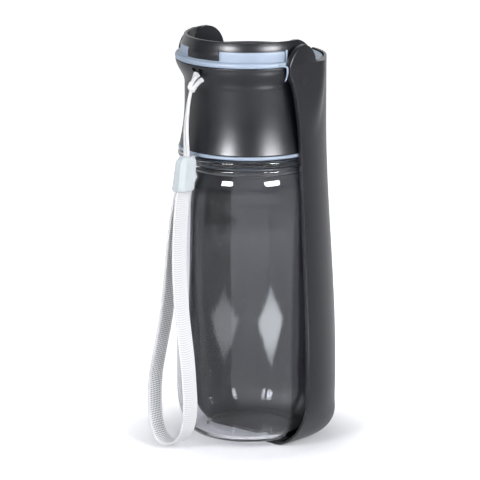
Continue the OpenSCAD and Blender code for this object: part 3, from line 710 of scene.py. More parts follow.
class Strap(bpy.types.Operator):
    """The doubled cord with its knot, the frosted clip and the webbing loop"""

    bl_idname = "bottle.strap"
    bl_label = "Strap"

    def cord(self, s):
        """Two strands side by side along the route, turning slowly round each other: each stands
        nearly its own radius out from the middle, at an angle that grows along the line."""
        line = even(curve(np.array(CORD_ROUTE) * MM, 12), 0.4)
        first, second = across(line, (1, 0, 0))
        start, twist, closeness = 0.35, 1.5, 0.94
        angle = start + twist * np.linspace(0, 1, len(line))[:, None]
        shape = Shape()
        radius = s.strand / 2
        for side in (-1, 1):
            out = side * radius * closeness * (np.cos(angle) * first + np.sin(angle) * second)
            shape.add(*self.strand(line + out, radius), ends=True)
        return shape.mesh("cord"), line

    def strand(self, path, radius):
        """A tube with its own map: u round it, v along it in millimetres."""
        grid = tube(path, radius, (1, 0, 0), 14)
        u, v = np.meshgrid(np.linspace(0, 1, grid.shape[1]), run_along(path))
        return grid, np.stack([u, v], -1)

    def knot(self, s):
        """The cord wraps round itself nearly twice: a helix about the knot's slanting axis. A
        strand crosses it in front, and the two ends leave side by side, up to the right, and
        stop square."""
        radius = s.strand / 2
        lean = 0.62
        axis = np.array([math.sin(lean), 0, math.cos(lean)])
        wide = np.array([math.cos(lean), 0, -math.sin(lean)])
        deep = np.array([0, -1.0, 0])
        shape = Shape()
        t = np.linspace(-0.2, 1.75, 90)[:, None]
        pitch = coil_radius = 1.45
        coil = (KNOT_AT + (t - 0.8) * pitch * axis
                + coil_radius * (np.cos(TURN * t) * wide + 0.9 * np.sin(TURN * t) * deep))
        shape.add(*self.strand(coil, radius * 1.12), ends=True)
        t = np.linspace(-1, 1, 40)[:, None]
        cross = (KNOT_AT + 1.5 * t * axis - 1.5 * t * wide + (1.9 - 1.3 * t**2) * deep)
        shape.add(*self.strand(cross, radius * 1.05), ends=True)
        reach = 7.4
        k = np.linspace(0, 1, 30)[:, None]
        for start, turn in ((-0.9, 0.52), (1.3, 0.7)):
            bend = turn + 0.1 * k**2
            steps = np.concatenate([np.sin(bend), 0 * k + 0.12, np.cos(bend)], 1)
            line = KNOT_AT + start * wide + 0.5 * deep + reach * k * steps
            swell = radius * (1.35 + 0.1 * ease((k[:, 0] - 0.6) * 3))
            shape.add(*self.strand(line, swell), ends=True)
        return shape.mesh("knot")

    def clip(self, s):
        """An eight-sided outline with softened corners, carried up a leaning line; it narrows a
        little on the way and draws in at both ends."""
        w, t, b, h = s.clip_width / 2, s.clip_thickness / 2, s.clip_bevel, s.clip_height
        corners = np.array([(t, w - b), (t - b, w), (b - t, w), (-t, w - b),
                            (-t, b - w), (b - t, -w), (t - b, -w), (t, b - w)])
        before, after = np.roll(corners, 1, 0), np.roll(corners, -1, 0)
        soft = [corners * (1 - k) + before * k for k in (0.09, 0.03)]
        soft += [corners * (1 - k) + after * k for k in (0.03, 0.09)]
        ring = closed(np.stack(soft, 1).reshape(-1, 2))
        levels = np.array([0, 0.2, 0.9, 1.3, 3, 7, 11, 14.4, 15.4, h - 0.7, h - 0.15, h])
        inset = np.array([1.1, 0.8, 0.1, 0, 0, 0, 0, 0, 0.12, 1.2, 1.5, 1.9])
        narrow = 1 - 0.08 * levels / h
        x = ring[None, :, 0] * (narrow - inset / t * 0.7)[:, None]
        y = ring[None, :, 1] * (narrow - inset / w)[:, None]
        middle = CLIP_X + s.clip_lean * levels[:, None] / h
        return solid("clip", strap_point(x + middle, CLIP_FOOT + levels[:, None], y))

    def webbing(self, s):
        """A flat strip with rounded edges along the route. Its outline is half the thickness
        out along the route's normal and half the width to each side; the edges stand a hair
        thicker, as a woven border does, and the strip cups slightly in its tight bend."""
        line = even(curve(np.array(WEB_ROUTE) * MM, 12), 0.7)
        along = np.gradient(line, axis=0)
        along /= np.linalg.norm(along, axis=1)[:, None]
        normal = np.stack([along[:, 1], -along[:, 0]], 1)
        run = run_along(line)
        e, w = s.web_thickness / 2, s.web_width / 2
        share_out = np.linspace(-1, 1, 23)
        body = w - e
        border = 0.06 * ease((np.abs(share_out) - 0.8) * 8)
        thick = (e - 0.08) + border
        up = np.stack([thick, share_out * body], 1)
        down = np.stack([-thick[::-1], share_out[::-1] * body], 1)
        a = np.radians(np.array([60, 30, 0, -30, -60]))
        right = np.stack([(e - 0.05) * np.sin(a), body + (e - 0.05) * np.cos(a)], 1)
        left = np.stack([-(e - 0.05) * np.sin(a), -body - (e - 0.05) * np.cos(a)], 1)
        ring = closed(np.concatenate([up, right, down, left]))
        u = np.concatenate([np.linspace(0, 1, 23), np.full(5, 1.0), np.linspace(1, 2, 23),
                            np.full(5, 2.0), [2.0]])
        bend = np.abs(np.gradient(np.unwrap(np.arctan2(along[:, 1], along[:, 0])), run))
        cup = 0.25 * ease(bend / 0.1)[:, None] * (1 - (ring[None, :, 1] / w) ** 2)
        lift = ring[None, :, 0] + cup
        x = line[:, :1] + normal[:, :1] * lift
        z = line[:, 1:] + normal[:, 1:] * lift
        grid = strap_point(x, z, ring[None, :, 1])
        uv = np.stack(np.meshgrid(u, run), -1)
        return solid("webbing", grid, uv), strap_point(line[:, 0], line[:, 1], 0.0)

    def execute(self, context):
        s = context.scene.strap_sizes
        mm = millimetres(s)
        mesh, route = self.cord(mm)
        doubled = piece("doubled_cord", mesh, "braided cord", "head", ["lanyard_cord"])
        knot = piece("cord_knot", self.knot(mm), "braided cord", "head", ["lanyard_knot"])
        clip = piece("strap_clip_body", self.clip(mm), "frosted clip plastic", "head",
                     ["strap_clip"], sharp=50)
        mesh, middle = self.webbing(mm)
        loop = piece("webbing_loop", mesh, "woven webbing", "head", ["strap_webbing"],
                     sharp=60)
        return {"FINISHED"}


class Bottle(bpy.types.Operator):
    """The clear bottle with its beads, neck and thread, and the ring on its flange"""

    bl_idname = "bottle.bottle"
    bl_label = "Bottle"

    def outline(self, b):
        """Half section, from the axis under the base, up outside, over the neck and down inside:
        quarter ellipses for base and shoulder, and short arcs for the two beads."""
        r, wall, neck, base = b.radius, b.wall, b.neck, b.base
        w, h, floor = b.round_width, b.round_height, b.floor
        flange = base + b.height
        top = flange + b.neck_height
        middle = r - w
        return chain(
            # The base: hollow underside, foot ring and rounding
            [(0, base + 0.8), (middle - 7, base + 0.78), (middle - 6, base + 0.7),
             (middle - 5.2, base + 0.3)],
            arc((middle - 4.2, base + 0.4), (0.8, 0.4), 215, 270, 3),
            arc((middle, base + h), (w, h), -90, 0, 30),
            # The side, the shoulder and the two beads
            np.stack([np.full(5, r), np.linspace(base + h + 8, flange - 26, 5)], 1),
            arc((r - 8, flange - 18), (8, 14), 0, 39, 16),
            arc((r - 3.1, flange - 6.7), (1.7, 1.8), -60, 60, 12),
            arc((r - 2.9, flange - 2.2), (1.9, 1.8), -60, 55, 12),
            # The flange and the neck, over its top and down inside
            [(r - 2.6, flange), (neck + 0.5, flange), (neck, flange + 0.5), (neck, top - 0.3),
             (neck - 0.3, top), (neck - 1.3, top), (neck - 1.6, top - 0.3),
             (neck - 1.6, flange - 1.5)],
            # The inside of the shoulder, the side and the base
            arc((neck + 0.4, flange - 12), (r - neck - 3.5, 9), 78, 0, 14),
            np.stack([np.full(4, r - wall), np.linspace(flange - 24, base + h + 6, 4)], 1),
            arc((middle, base + h), (w - wall, h - floor), 0, -90, 26),
            [(middle - 6, base + floor + 0.1), (0, base + floor + 0.25)],
        )

    def execute(self, context):
        b = millimetres(context.scene.bottle_sizes)
        flange = b.base + b.height
        # The thread: a low ridge carried up a helix of two and a half turns, its ends drawn in
        turns, start, climb, height, fade = 2.5, 7, 10.5, 1.1, 0.4
        a = np.linspace(0, turns * TURN, 241)
        z = flange + start + climb * a / a[-1]
        proud = height * np.minimum(1, np.minimum(a, a[-1] - a) / fade)[:, None]
        ridge = closed(np.array([(0, -1.1), (1, -0.35), (1, 0.35), (0, 1.1)]))
        r = b.neck - 0.15 + proud * ridge[None, :, 0]
        grid = round_axis(r, a[:, None], z[:, None] + ridge[None, :, 1])
        parts = [skin("body", turned(self.outline(b), CIRCLE)), solid("thread", grid)]
        piece("clear_bottle", merged(parts, "bottle"), "clear bottle plastic", "bottle",
              ["bottle_shell"], sharp=48)
        half = b.gasket / 2
        ring = closed(chain(arc((35.0, flange + half), (0.8, half), -90, 90, 10),
                            arc((b.neck + 0.9, flange + half), (0.6, half), 90, 270, 6)))
        piece("blue_ring", skin("ring", turned(ring, CIRCLE)), "pale blue silicone", "gasket",
              ["neck_gasket"], sharp=50)
        return {"FINISHED"}


def collar_radius(h, z):
    """Radius of the collar at a height: the waist, plus a square law below it and an eased step
    up to the flare above it."""
    low, top, waist, flare = h.collar_low, h.collar_top, h.waist, h.flare
    middle = low + (top - low - flare) * 0.75
    down = np.clip((middle - z) / (middle - low), 0, None)
    return (waist + (h.low_radius - waist) * down**2
            + (h.top_radius - waist) * ease((z - top + flare) / flare))


class Collar(bpy.types.Operator):
    """The black waisted collar with the slot and bar that hold the cord"""

    bl_idname = "bottle.collar"
    bl_label = "Collar"

    def execute(self, context):
        h = millimetres(context.scene.head_sizes)
        low, top, wall = h.collar_low, h.collar_top, h.wall
        z = np.linspace(low + 0.5, top - 0.6, 64)
        r = collar_radius(h, z)
        edge_low, edge_top = collar_radius(h, low), collar_radius(h, top)
        outline = closed(chain(
            arc((edge_low - 0.5, low + 0.5), (0.5, 0.5), -90, -15, 4),
            np.stack([r, z], 1),
            arc((edge_top - 0.6, top - 0.6), (0.6, 0.6), 15, 90, 4),
            [(edge_top - wall, top)],
            np.stack([r - wall, z], 1)[::-4],
            [(edge_low - wall, low)],
        ))
        shell = skin("collar", turned(outline, CIRCLE))
        ear = millimetres(context.scene.trough_sizes).ear
        # The button's opening, then the room for the bosses and ears
        cutters = [block((-10.6, 20, 184.2), (10.6, BEYOND, 194.8))]
        for side in (-1, 1):
            cutters += [pipe_cutter(h.boss + 0.4, h.hinge, 25, BEYOND, side),
                        pipe_cutter(ear + 0.6, h.hinge, EAR_FLAT, BEYOND, side)]
        # The cord's slot: a recess on either side of the bar, with a slanting outer end
        slot = closed(np.array([(0.8, 193.0), (3.0, 193.2), (4.2, 196.6), (0.8, 196.8)]))
        for side in (-1, 1):
            grid = np.stack([np.stack([side * slot[:, 0], np.full(5, y), slot[:, 1]], 1)
                             for y in (-45.0, -BOSS_FACE)])
            cutters.append(Shape().add(grid, ends=True))
        piece("collar_body", cut(shell, cutters), "moulded black plastic", "head",
              ["collar_shell"], sharp=40)
        return {"FINISHED"}


class Basin(bpy.types.Operator):
    """The basin wall with its window recesses, the floor and the two hinge lugs"""

    bl_idname = "bottle.basin"
    bl_label = "Basin"

    def wall(self, h):
        """The wall's section carried from one end to the other. Between tab and window end, and
        under the window's top, the outside is drawn in to the seat of the silicone."""
        top, lip_top = h.rim_top, h.collar_top + h.lip
        window = lip_top + WINDOW
        edge = curve([(32.62, top - 0.45), (33.15, top - 1.8), (33.7, top - 3.6),
                      (34.25, window - 0.6), (34.58, window - 1.8)], 4)
        upper = edge[edge[:, 1] > window]
        lower = edge[edge[:, 1] <= window]
        seam = [(np.interp(window, edge[::-1, 1], edge[::-1, 0]), window)]
        face = chain(arc((32.2, top - 0.5), (0.5, 0.5), 90, 15, 4), upper, seam, seam, lower,
                     [(WALL_OUT, window - 2.4), (WALL_OUT, lip_top)])
        # Drawn in from the second of the two seam points, after the arc's five and the upper run
        seated = np.arange(len(face)) >= 5 + len(upper) + 1
        # A column stands on each side of the window's ends, a hair apart
        tab, end, wall_end = np.radians([TAB_END, WINDOW_END, 93.4])
        hair = 1e-4
        turn = np.concatenate([
            np.linspace(0, tab, 12), np.linspace(tab + hair, end - hair, 52),
            np.linspace(end, wall_end, 12),
        ])
        angles = np.concatenate([-turn[:0:-1], turn])
        beside = np.abs(angles)[:, None]
        inside = (beside > tab + hair / 2) & (beside < end - hair / 2)
        inner = chain([(SEAT, lip_top), (SEAT, lip_top - 4), (WALL_IN, lip_top - 4),
                       (WALL_IN, top - 0.5)],
                      arc((WALL_IN + 0.5, top - 0.5), (0.5, 0.5), 180, 95, 4))
        outline = closed(np.concatenate([face, inner]))
        r, z = (np.tile(outline[:, k], (len(angles), 1)) for k in (0, 1))
        r[:, :len(face)] = np.where(inside & seated, np.minimum(face[:, 0], SEAT), face[:, 0])
        return solid("wall", round_axis(r, angles[:, None], z))

    def execute(self, context):
        h = millimetres(context.scene.head_sizes)
        floor = h.collar_top - 1.6
        parts = [self.wall(h)]
        # The low rim all round with the floor, its corner rounded
        rim = closed(chain([(9.6, floor - 1.6), (SEAT, floor - 1.6), (SEAT, floor + 1.9),
                            (SEAT - 0.3, floor + 2), (WALL_IN + 0.2, floor + 2),
                            (WALL_IN, floor + 1.8)],
                           arc((WALL_IN - 1.6, floor + 1.6), (1.6, 1.6), 0, -90, 6),
                           [(20, floor), (9.6, floor)]))
        parts.append(skin("floor", turned(rim, np.linspace(0, TURN, 161))))
        # On each side the lug and its hub, both cut off flat under the hinge, and the boss
        inner = LUG_FACE - h.lug_thickness
        lug = disc_outline(h.lug, inner, LUG_FACE, 0.4)
        hub = disc_outline(h.hub, inner - h.hub_height, inner + 0.3, 0.4)
        boss = disc_outline(h.boss, 30, BOSS_FACE, 0.4)
        for side in (-1, 1):
            for outline in (lug, hub):
                plate = turned_about_hinge(outline, h.hinge, side, 112)
                plate[..., 2] = np.maximum(plate[..., 2], h.hinge - 5)
                parts.append(skin("lug", plate))
            parts.append(skin("boss", turned_about_hinge(boss, h.hinge, side, 72)))
        piece("basin_body", merged(parts, "basin"), "moulded black plastic", "head", ["basin"],
              sharp=38)
        return {"FINISHED"}


class RimSeal(bpy.types.Operator):
    """The pale silicone lip with its window bands, its ribs and the tails beside the ears"""

    bl_idname = "bottle.rim_seal"
    bl_label = "Rim seal"

    def execute(self, context):
        h = millimetres(context.scene.head_sizes)
        low = h.collar_top
        high = low + h.lip
        mid = (low + high) / 2
        lip = closed(chain([(SEAT, low)], arc((36.3, mid), (1.0, h.lip / 2), -90, 90, 14),
                           [(35.5, high - 0.12), (34.9, high)],
                           arc((34.9, high + 0.35), (0.3, 0.35), 270, 180, 4), [(SEAT, high)]))
        angles = np.radians(np.linspace(-78, 78, 181))
        grid = turned(lip, angles)
        # Beside the ear the lip is drawn in to the flat of the ear's pocket
        reach = np.maximum(np.abs(grid[..., 0]) / LIP_FLAT, 1)
        grid[..., :2] /= reach[..., None]
        # Behind the ears it goes on, lower, between the basin's wall and the folded trough
        back = closed(chain([(SEAT, low)], arc((36.4, low + 0.4), (0.55, 0.4), -90, 90, 8),
                            [(SEAT, low + 0.8)]))
        parts = [solid("lip", grid),
                 solid("back of the lip", turned(back, np.radians(np.linspace(113, 247, 135))))]
        window = high + WINDOW
        for side in (-1, 1):
            band = closed(chain([(33.3, high - 0.2), (34.5, high - 0.2), (34.5, window - 1.9)],
                                arc((33.98, window - 0.4), (0.42, 0.35), 5, 90, 5),
                                [(33.3, window - 0.05)]))
            turn = side * np.radians(np.linspace(TAB_END + 0.1, WINDOW_END - 0.1, 61))
            grid = turned(band, turn)
            # Rounded ends: the first and last columns are drawn in towards the seat
            ends = np.ones(len(turn))
            ends[[0, -1]] = 0.985
            ends[[1, -2]] = 0.9965
            grid[..., :2] *= ends[:, None, None]
            parts.append(solid("band", grid))
            # A thin rib stands at the window's end, beside the ear
            up = np.linspace(high - 0.6, window + 0.6, 24)
            line = turned(np.stack([34.7 - 0.1 * (up - high) / 5, up], 1),
                          side * np.radians([WINDOW_END + 0.2]))[0]
            parts.append(solid("rib", tube(line, 0.55, (0, 1, 0), 12)))
            # The tail: from the lip's end, down round the ear and back to the collar
            tail = curve([(34.9, -14.6, 199.6), (36.2, -13.2, 199.5), (37.5, -12.2, 198.8),
                          (37.9, -12.0, 197.4), (37.6, -12.0, 195.2), (36.9, -11.7, 193.4),
                          (35.4, -11.2, 191.4)], 8)
            tail[:, 0] *= side
            k = np.linspace(0, 1, len(tail))
            parts.append(solid("tail", tube(tail, 0.62 - 0.3 * k, (1, 0, 0), 12)))
        piece("silicone_rim", merged(parts, "rim"), "pale blue silicone", "head", ["rim_seal"],
              sharp=42)
        return {"FINISHED"}


class Trough(bpy.types.Operator):
    """The folding drinking trough with its two ears"""

    bl_idname = "bottle.trough"
    bl_label = "Trough"

    def section(self, t, z, angle, inner):
        """Radius of the trough's section at a height, at an angle from the back. Its half widths
        across (a) and back (b) follow the trough's outline; the section is the rounded oval
        |sin|/a and |cos|/b, each to the power n, whose sum is the radius to the power -n. n is 2,
        a circle, on the upper part, and grows towards the foot, where a is less than b."""
        top, low = t.top_radius, t.low_radius
        body = top + (low - top) * ease((t.hinge - BAND - z) / BELLY)
        floor, c, w, h = 0.0, t.corner, END_WIDE, END_HIGH
        if inner:
            body = body - (t.lip_wall + (t.wall - t.lip_wall) * ease((t.hinge - z) / BAND))
            floor, c, w, h = t.foot, c - t.wall, w - t.end_wall, h - t.end_wall
        fall = np.clip((floor + c - z) / c, 0, 1)
        back = np.where(z < floor + c, low - t.corner + c * np.sqrt(1 - fall**2), body)
        side_fall = np.clip((END_HIGH - z) / h, 0, 1)
        wide = np.where(z < END_HIGH, END_FLAT + w * np.sqrt(1 - side_fall**2), body)
        wide = np.minimum(wide, back)
        gap = 1 - wide / back
        n = 2 + 2 * gap + 20 * gap**2
        with np.errstate(divide="ignore"):
            total = (np.abs(np.sin(angle)) / wide) ** n + (np.abs(np.cos(angle)) / back) ** n
        return total ** (-1 / n)

    def edge(self, t, z):
        """How far the mouth's edge passes the axis at a height: nearly straight, then sweeping
        forward to meet the ear."""
        rise = np.clip((z - t.hinge + SWEEP) / SWEEP, 0, 1)
        over = np.sqrt(np.maximum((t.ear - 0.4) ** 2 - np.clip(z - t.hinge, 0, None) ** 2, 0))
        return np.minimum(t.mouth + (t.ear - t.mouth) * rise**SWEEP_POWER, over)

    def face(self, t, z, inner, columns):
        """One face of the wall, from mouth edge to mouth edge round the back, row by row. The
        end angle is found by stepping: the angle whose sine past a right angle is the edge's
        distance over the radius there."""
        reach = self.edge(t, z) - LAP
        end = np.full(len(z), math.pi / 2)
        for _ in range(6):
            radius = self.section(t, z, end, inner)
            end = math.pi / 2 + np.arcsin(np.clip(reach / radius, -1, 1))
        angle = end[:, None] * columns[None]
        radius = self.section(t, z[:, None], angle, inner)
        return np.stack([radius * np.sin(angle), radius * np.cos(angle),
                         np.broadcast_to(z[:, None], angle.shape)], -1)

    def ear_share(self, t, steps):
        """The ear's outline as a share of its radius, angle by angle. Above the trough's top
        edge the rear follows a smaller circle, set forward and touching the ear's top: along a
        direction e it lies at c.e + sqrt(r^2 - c^2 + (c.e)^2) for its centre c."""
        ear, back = t.ear, t.ear_back
        a = np.linspace(0, TURN, steps + 1)
        c = np.array([-EAR_SHIFT, ear - math.sqrt(back**2 - EAR_SHIFT**2)])
        along = c[0] * np.cos(a) + c[1] * np.sin(a)
        rear = along + np.sqrt(back**2 - c @ c + along**2)
        edge = EDGE_RISE / np.maximum(np.sin(a), 1e-6)
        limit = np.where((np.cos(a) > 0) & (np.sin(a) > 0), np.maximum(rear, edge), ear)
        return (np.minimum(limit, ear) / ear)[:, None, None]

    def swelled(self, t, outer, out):
        """The outer face, swelling beside the hinge to the ear's flat face at x = out and fading
        back into the wall; below the hinge distances count half."""
        fade, sides_only = 9, 28
        x, y, z = np.moveaxis(outer, -1, 0)
        from_hinge = np.hypot(y, 0.5 * np.minimum(z - t.hinge, 0))
        swell = (1 - ease((from_hinge - t.ear) / fade)) * np.clip(out - np.abs(x), 0, fade)
        x = x + np.where(np.abs(x) > sides_only, np.sign(x) * swell, 0)
        return np.stack([x, y, z], -1)

    def with_foot(self, wall, front):
        """A face of the wall with its foot: the lowest section drawn straight to the front."""
        last = wall[-1]
        line = np.stack([np.linspace(last[0, 0], last[-1, 0], len(last)),
                         np.full(len(last), front), last[:, 2]], 1)
        k = np.linspace(0, 1, 9)[1:, None, None]
        return np.concatenate([wall, last + (line - last) * k])

    def rim(self, start, end):
        """The rim from one face's edge to the other's, a little forward: a quarter circle, a
        flat and a quarter circle."""
        a = np.radians(np.linspace(0, 90, 5))[None, :, None]
        forward = np.array([0, -1.0, 0])

        def corner(at, other):
            way = other - at
            way /= np.maximum(np.linalg.norm(way, axis=1), 1e-9)[:, None]
            return at[:, None] + LAP * np.sin(a) * forward + LAP * (1 - np.cos(a)) * way[:, None]

        return np.concatenate([corner(start, end), corner(end, start)[:, ::-1]], 1)

    def execute(self, context):
        t = millimetres(context.scene.trough_sizes)
        t.hinge = millimetres(context.scene.head_sizes).hinge
        edge_top = t.hinge + EDGE_RISE
        # The columns stand closer together near the mouth's edges than at the back
        crowding = 1.25
        columns = np.sin(np.linspace(-1, 1, 121) * crowding) / math.sin(crowding)
        turn = np.sin(np.radians(np.linspace(0, 90, 30))[1:])
        straight = np.linspace(edge_top, END_HIGH, 76)
        outer_z = np.concatenate([straight, END_HIGH * (1 - turn)])
        inner_z = np.concatenate([straight, END_HIGH - (END_HIGH - t.foot) * turn])
        out = t.top_radius + EAR_PROUD
        front = LAP - t.mouth
        outer = self.swelled(t, self.face(t, outer_z, False, columns), out)
        outer = self.with_foot(outer, front)
        inner = self.with_foot(self.face(t, inner_z, True, columns), front)
        right = self.rim(outer[:, -1], inner[:, -1])
        left = self.rim(inner[:, 0], outer[:, 0])
        ring = np.concatenate([outer, right[:, 1:-1], inner[:, ::-1], left[:, 1:-1],
                               outer[:, :1]], 1)
        shell = Shape().add(ring)
        shell.add(np.stack([outer[0], inner[0]]))
        shell.add(np.stack([outer[-1], inner[-1]]))
        for rim in (right, left):
            shell.face(rim[0])
            shell.face(rim[-1])
        # The notch at the back, for the button
        notch = block((-9, 20, edge_top - 2), (9, BEYOND, edge_top + 20))
        parts = [cut(shell.mesh("trough"), [notch])]
        steps = 256
        disc = disc_outline(t.ear, out - t.ear_thickness, out - 0.02, 0.55)
        middle = (0, t.hinge)
        for side in (-1, 1):
            plate = turned_about_hinge(disc, t.hinge, side, steps)
            plate[..., 1:] = middle + (plate[..., 1:] - middle) * self.ear_share(t, steps)
            parts.append(skin("ear", plate))
        piece("trough_body", merged(parts, "trough"), "moulded black plastic", "trough",
              ["trough_shell"], sharp=38)
        return {"FINISHED"}


CAD_FINISHES = {
    "moulded black plastic": ["outlet_grille", "release_button", "button_frame"],
    "moulded white plastic": ["neck_insert", "valve_guide", "valve_stem", "hinge_washer_left",
                              "hinge_washer_right"],
    "pale blue silicone": ["neck_seal", "valve_seal", "vent_valve", "button_seal"],
    "drawn steel": ["valve_spring", "button_spring", "hinge_pin_left", "hinge_pin_right"],
}


class InnerParts(bpy.types.Operator):
    """Finishes of the parts that keep their CAD shape: valve, button, grille, pins and washers"""

    bl_idname = "bottle.inner_parts"
    bl_label = "Inner parts"

    def execute(self, context):
        for material, names in CAD_FINISHES.items():
            for name in names:
                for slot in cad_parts[name].material_slots:
                    slot.material = bpy.data.materials[material]
        return {"FINISHED"}


class Stage(bpy.types.Operator):
    """The floor, the light and the camera at the photograph's angle"""

    bl_idname = "bottle.stage"
    bl_label = "Stage"

    def camera(self, s):
        """The camera looks along -back at a point just beside the object's middle, which puts
        the object where it stands in the photograph."""
        back = outward(s.azimuth, s.elevation)
        right = Vector((math.cos(s.azimuth), math.sin(s.azimuth), 0))
        up = back.cross(right)
        height, beside, under = 0.105, 0.00455, 0.00145
        aim = Vector((0, 0, height)) - right * beside - up * under
        data = bpy.data.cameras.new("camera")
        data.lens = s.lens
        data.sensor_width = 36
        data.clip_start, data.clip_end = 0.01, 100
        camera = thing("camera", data)
        camera.matrix_world = (Matrix.Translation(aim + back * s.distance)
                               @ Matrix((right, up, back)).transposed().to_4x4())
        bpy.context.scene.camera = camera

    def around(self, at):
        """The point at (azimuth, elevation, distance) round the object, in degrees and metres,
        and the way there."""
        azimuth, elevation, distance = at
        back = outward(math.radians(azimuth), math.radians(elevation))
        middle = Vector((0, 0, 0.1))
        return middle + back * distance, back

    def lamp(self, name, at, width, height, power, gloss):
        """A softbox round the object, facing it, seen either by gloss or by everything else."""
        place, back = self.around(at)
        data = bpy.data.lights.new(name, "AREA")
        data.shape = "RECTANGLE"
        data.size, data.size_y = width, height
        data.energy = power
        data.color = (0.955, 0.965, 1.0)
        made = thing(name, data)
        made.location = place
        made.rotation_euler = (-back).to_track_quat("-Z", "Y").to_euler()
        made.visible_camera = False
        made.visible_diffuse = made.visible_transmission = not gloss
        made.visible_glossy = gloss

    def gloss_only(self, name, mesh, material):
        """Puts a surface in the stage that gloss alone sees."""
        mesh.materials.append(material)
        made = thing(name, mesh)
        made.visible_camera = made.visible_diffuse = made.visible_shadow = False
        made.visible_transmission = False

    def card(self, name, at, width, height, strength):
        """A small diamond-shaped reflector that gloss alone sees, dimmer towards its top and
        foot, and uneven and thin along its edge, where the shares across and up add to one."""
        net = Net(name)
        x, y, z = net.axes(net.place())
        place, back = self.around(at)
        right = back.cross(Vector((0, 0, 1))).normalized()
        up = (z - place.z) / (height / 2 * math.cos(math.radians(at[1])))
        aside = ((x - place.x) * right.x + (y - place.y) * right.y) / (width / 2)
        edge = abs(up) + abs(aside) + (net.noise(180, 4) - 0.5) * 0.5
        bright = net.blend(abs(up).between(0.2, 1.0), (0.92, 0.96, 1), (0.35, 0.38, 0.42))
        net.surface(net.mix(edge.between(0.62, 0.98), net.glow(bright, strength),
                            net.node("ShaderNodeBsdfTransparent")))
        rise = right.cross(back)
        corners = np.array([place + right * width / 2 * u + rise * height / 2 * v
                            for u, v in ((1, 0), (0, 1), (-1, 0), (0, -1), (1, 0))]) * MM
        grid = np.stack([corners, np.broadcast_to(np.array(place) * MM, corners.shape)])
        self.gloss_only(name, skin(name, grid), net.owner)

    def world(self, s):
        """An even sky: white to the camera and through clear plastic, weaker and faintly blue
        as light and in gloss."""
        net = Net("sky", "worlds")
        bpy.context.scene.world = net.owner
        camera, through = net.rays("Camera", "Transmission")
        white = camera.most(through)
        strength = net.node("ShaderNodeMapRange", {"Value": white, "To Min": s.sky})
        tone = net.blend(white, (0.95, 0.96, 1), (1, 1, 1))
        sky = net.node("ShaderNodeBackground", {"Color": tone, "Strength": strength})
        net.node("ShaderNodeOutputWorld", {"Surface": sky})

    def floor(self, s):
        """A wide pale floor that takes the shadow. White is added for the camera, most of it away
        from the object, and for gloss on the side behind it, where the backdrop lights it."""
        net = Net("pale floor")
        camera, gloss = net.rays("Camera", "Glossy")
        x, y, _ = net.axes(net.place())
        far = (x * x + y * y) ** 0.5
        front = x * math.sin(s.azimuth) - y * math.cos(s.azimuth)
        cloudy = net.blend(net.noise(3, 2), tint(s.floor, 0.995), s.floor)
        matt = net.node("ShaderNodeBsdfDiffuse", {"Color": cloudy})
        near_glow = tint((0.97, 0.97, 1.0), s.floor_glow)
        glow = net.glow(net.blend(far.between(0.034, 0.085), near_glow, (0.75, 0.75, 0.75)),
                        camera)
        sheen = net.glow(net.blend(front.between(-0.25, 0.1), (0.4, 0.4, 0.41), (0, 0, 0)),
                         gloss)
        both = net.node("ShaderNodeAddShader", {0: glow, 1: sheen})
        net.surface(net.node("ShaderNodeAddShader", {0: matt, 1: both}))
        u = np.linspace(-1, 1, 9)
        half_width = 20000
        spread = np.sign(u) * np.abs(u) ** 2 * half_width
        x, y = np.meshgrid(spread, spread)
        mesh = skin("floor", np.stack([x, y, 0 * x], -1))
        if mesh.polygons[0].normal.z < 0:
            mesh.flip_normals()
        mesh.materials.append(net.owner)
        thing("floor", mesh)

    def backdrop(self, s):
        """A tall white wall curved round behind the object, seen by gloss alone: at angle a to
        each side of straight behind, its points are radius times sine and cosine of a."""
        net = Net("backdrop")
        gloss, = net.rays("Glossy")
        net.surface(net.mix(gloss, net.node("ShaderNodeBsdfTransparent"),
                            net.glow((1, 1, 1, 1), 1.0)))
        a = s.azimuth + math.pi + np.radians(np.linspace(-70, 70, 41))
        radius, height = 3000.0, 2500.0
        outline = np.array([(radius, 0.0), (radius, height)])
        self.gloss_only("backdrop", skin("backdrop", turned(outline, a)), net.owner)

    def execute(self, context):
        s = context.scene.stage_settings
        self.camera(s)
        away = 1.2
        for name, azimuth, width, power, gloss in (
            ("left softbox", 8.6, 0.36, s.left_lamp, s.glare),
            ("right softbox", 81.7, 0.5, s.right_lamp, s.glare * 0.84),
        ):
            self.lamp(name, (azimuth, 24, away), width, 0.4, power, False)
            self.lamp(name + " glare", (azimuth, 20, away), width, 0.26, power * gloss, True)
        low, near = -21, 0.205
        self.card("low left reflector", (8.2, low, near), 0.18, 0.05, s.low_lamps * 0.36)
        self.card("low right reflector", (75.4, low, near), 0.155, 0.053, s.low_lamps)
        self.world(s)
        self.floor(s)
        self.backdrop(s)
        context.scene.view_settings.view_transform = "Standard"
        return {"FINISHED"}


class BottlePanel(bpy.types.Panel):
    """Sizes, finishes and the steps that build the bottle"""

    bl_idname = "VIEW3D_PT_water_bottle"
    bl_label = "Water Bottle"
    bl_space_type = "VIEW_3D"
    bl_region_type = "UI"
    bl_category = "Water Bottle"

    def draw(self, context):
        for step in STEPS:
            self.layout.operator(step.bl_idname)
        for group in GROUPS:
            box = self.layout.box()
            box.label(text=group.replace("_", " ").capitalize())
            settings = getattr(context.scene, group)
            for name in settings.bl_rna.properties.keys():
                if name not in ("rna_type", "name"):
                    box.prop(settings, name)


STEPS = (Stage, FinishMaterials, Strap, Bottle, Collar, Basin, RimSeal, Trough, InnerParts)
CLASSES = (*GROUPS.values(), *STEPS, BottlePanel)


def register():
    for cls in CLASSES:
        bpy.utils.register_class(cls)
    for name, group in GROUPS.items():
        setattr(bpy.types.Scene, name, PointerProperty(type=group))


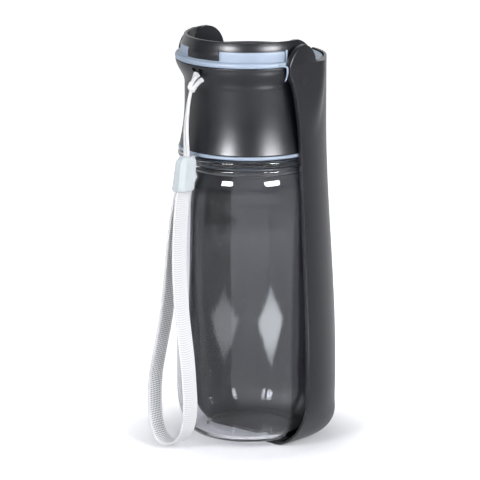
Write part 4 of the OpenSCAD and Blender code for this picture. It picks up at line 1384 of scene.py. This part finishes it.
def unregister():
    for name in GROUPS:
        delattr(bpy.types.Scene, name)
    for cls in reversed(CLASSES):
        bpy.utils.unregister_class(cls)


def main():
    """Builds everything."""
    register()
    for step in STEPS:
        group, name = step.bl_idname.split(".")
        getattr(getattr(bpy.ops, group), name)()


if __name__ == "__main__":
    main()
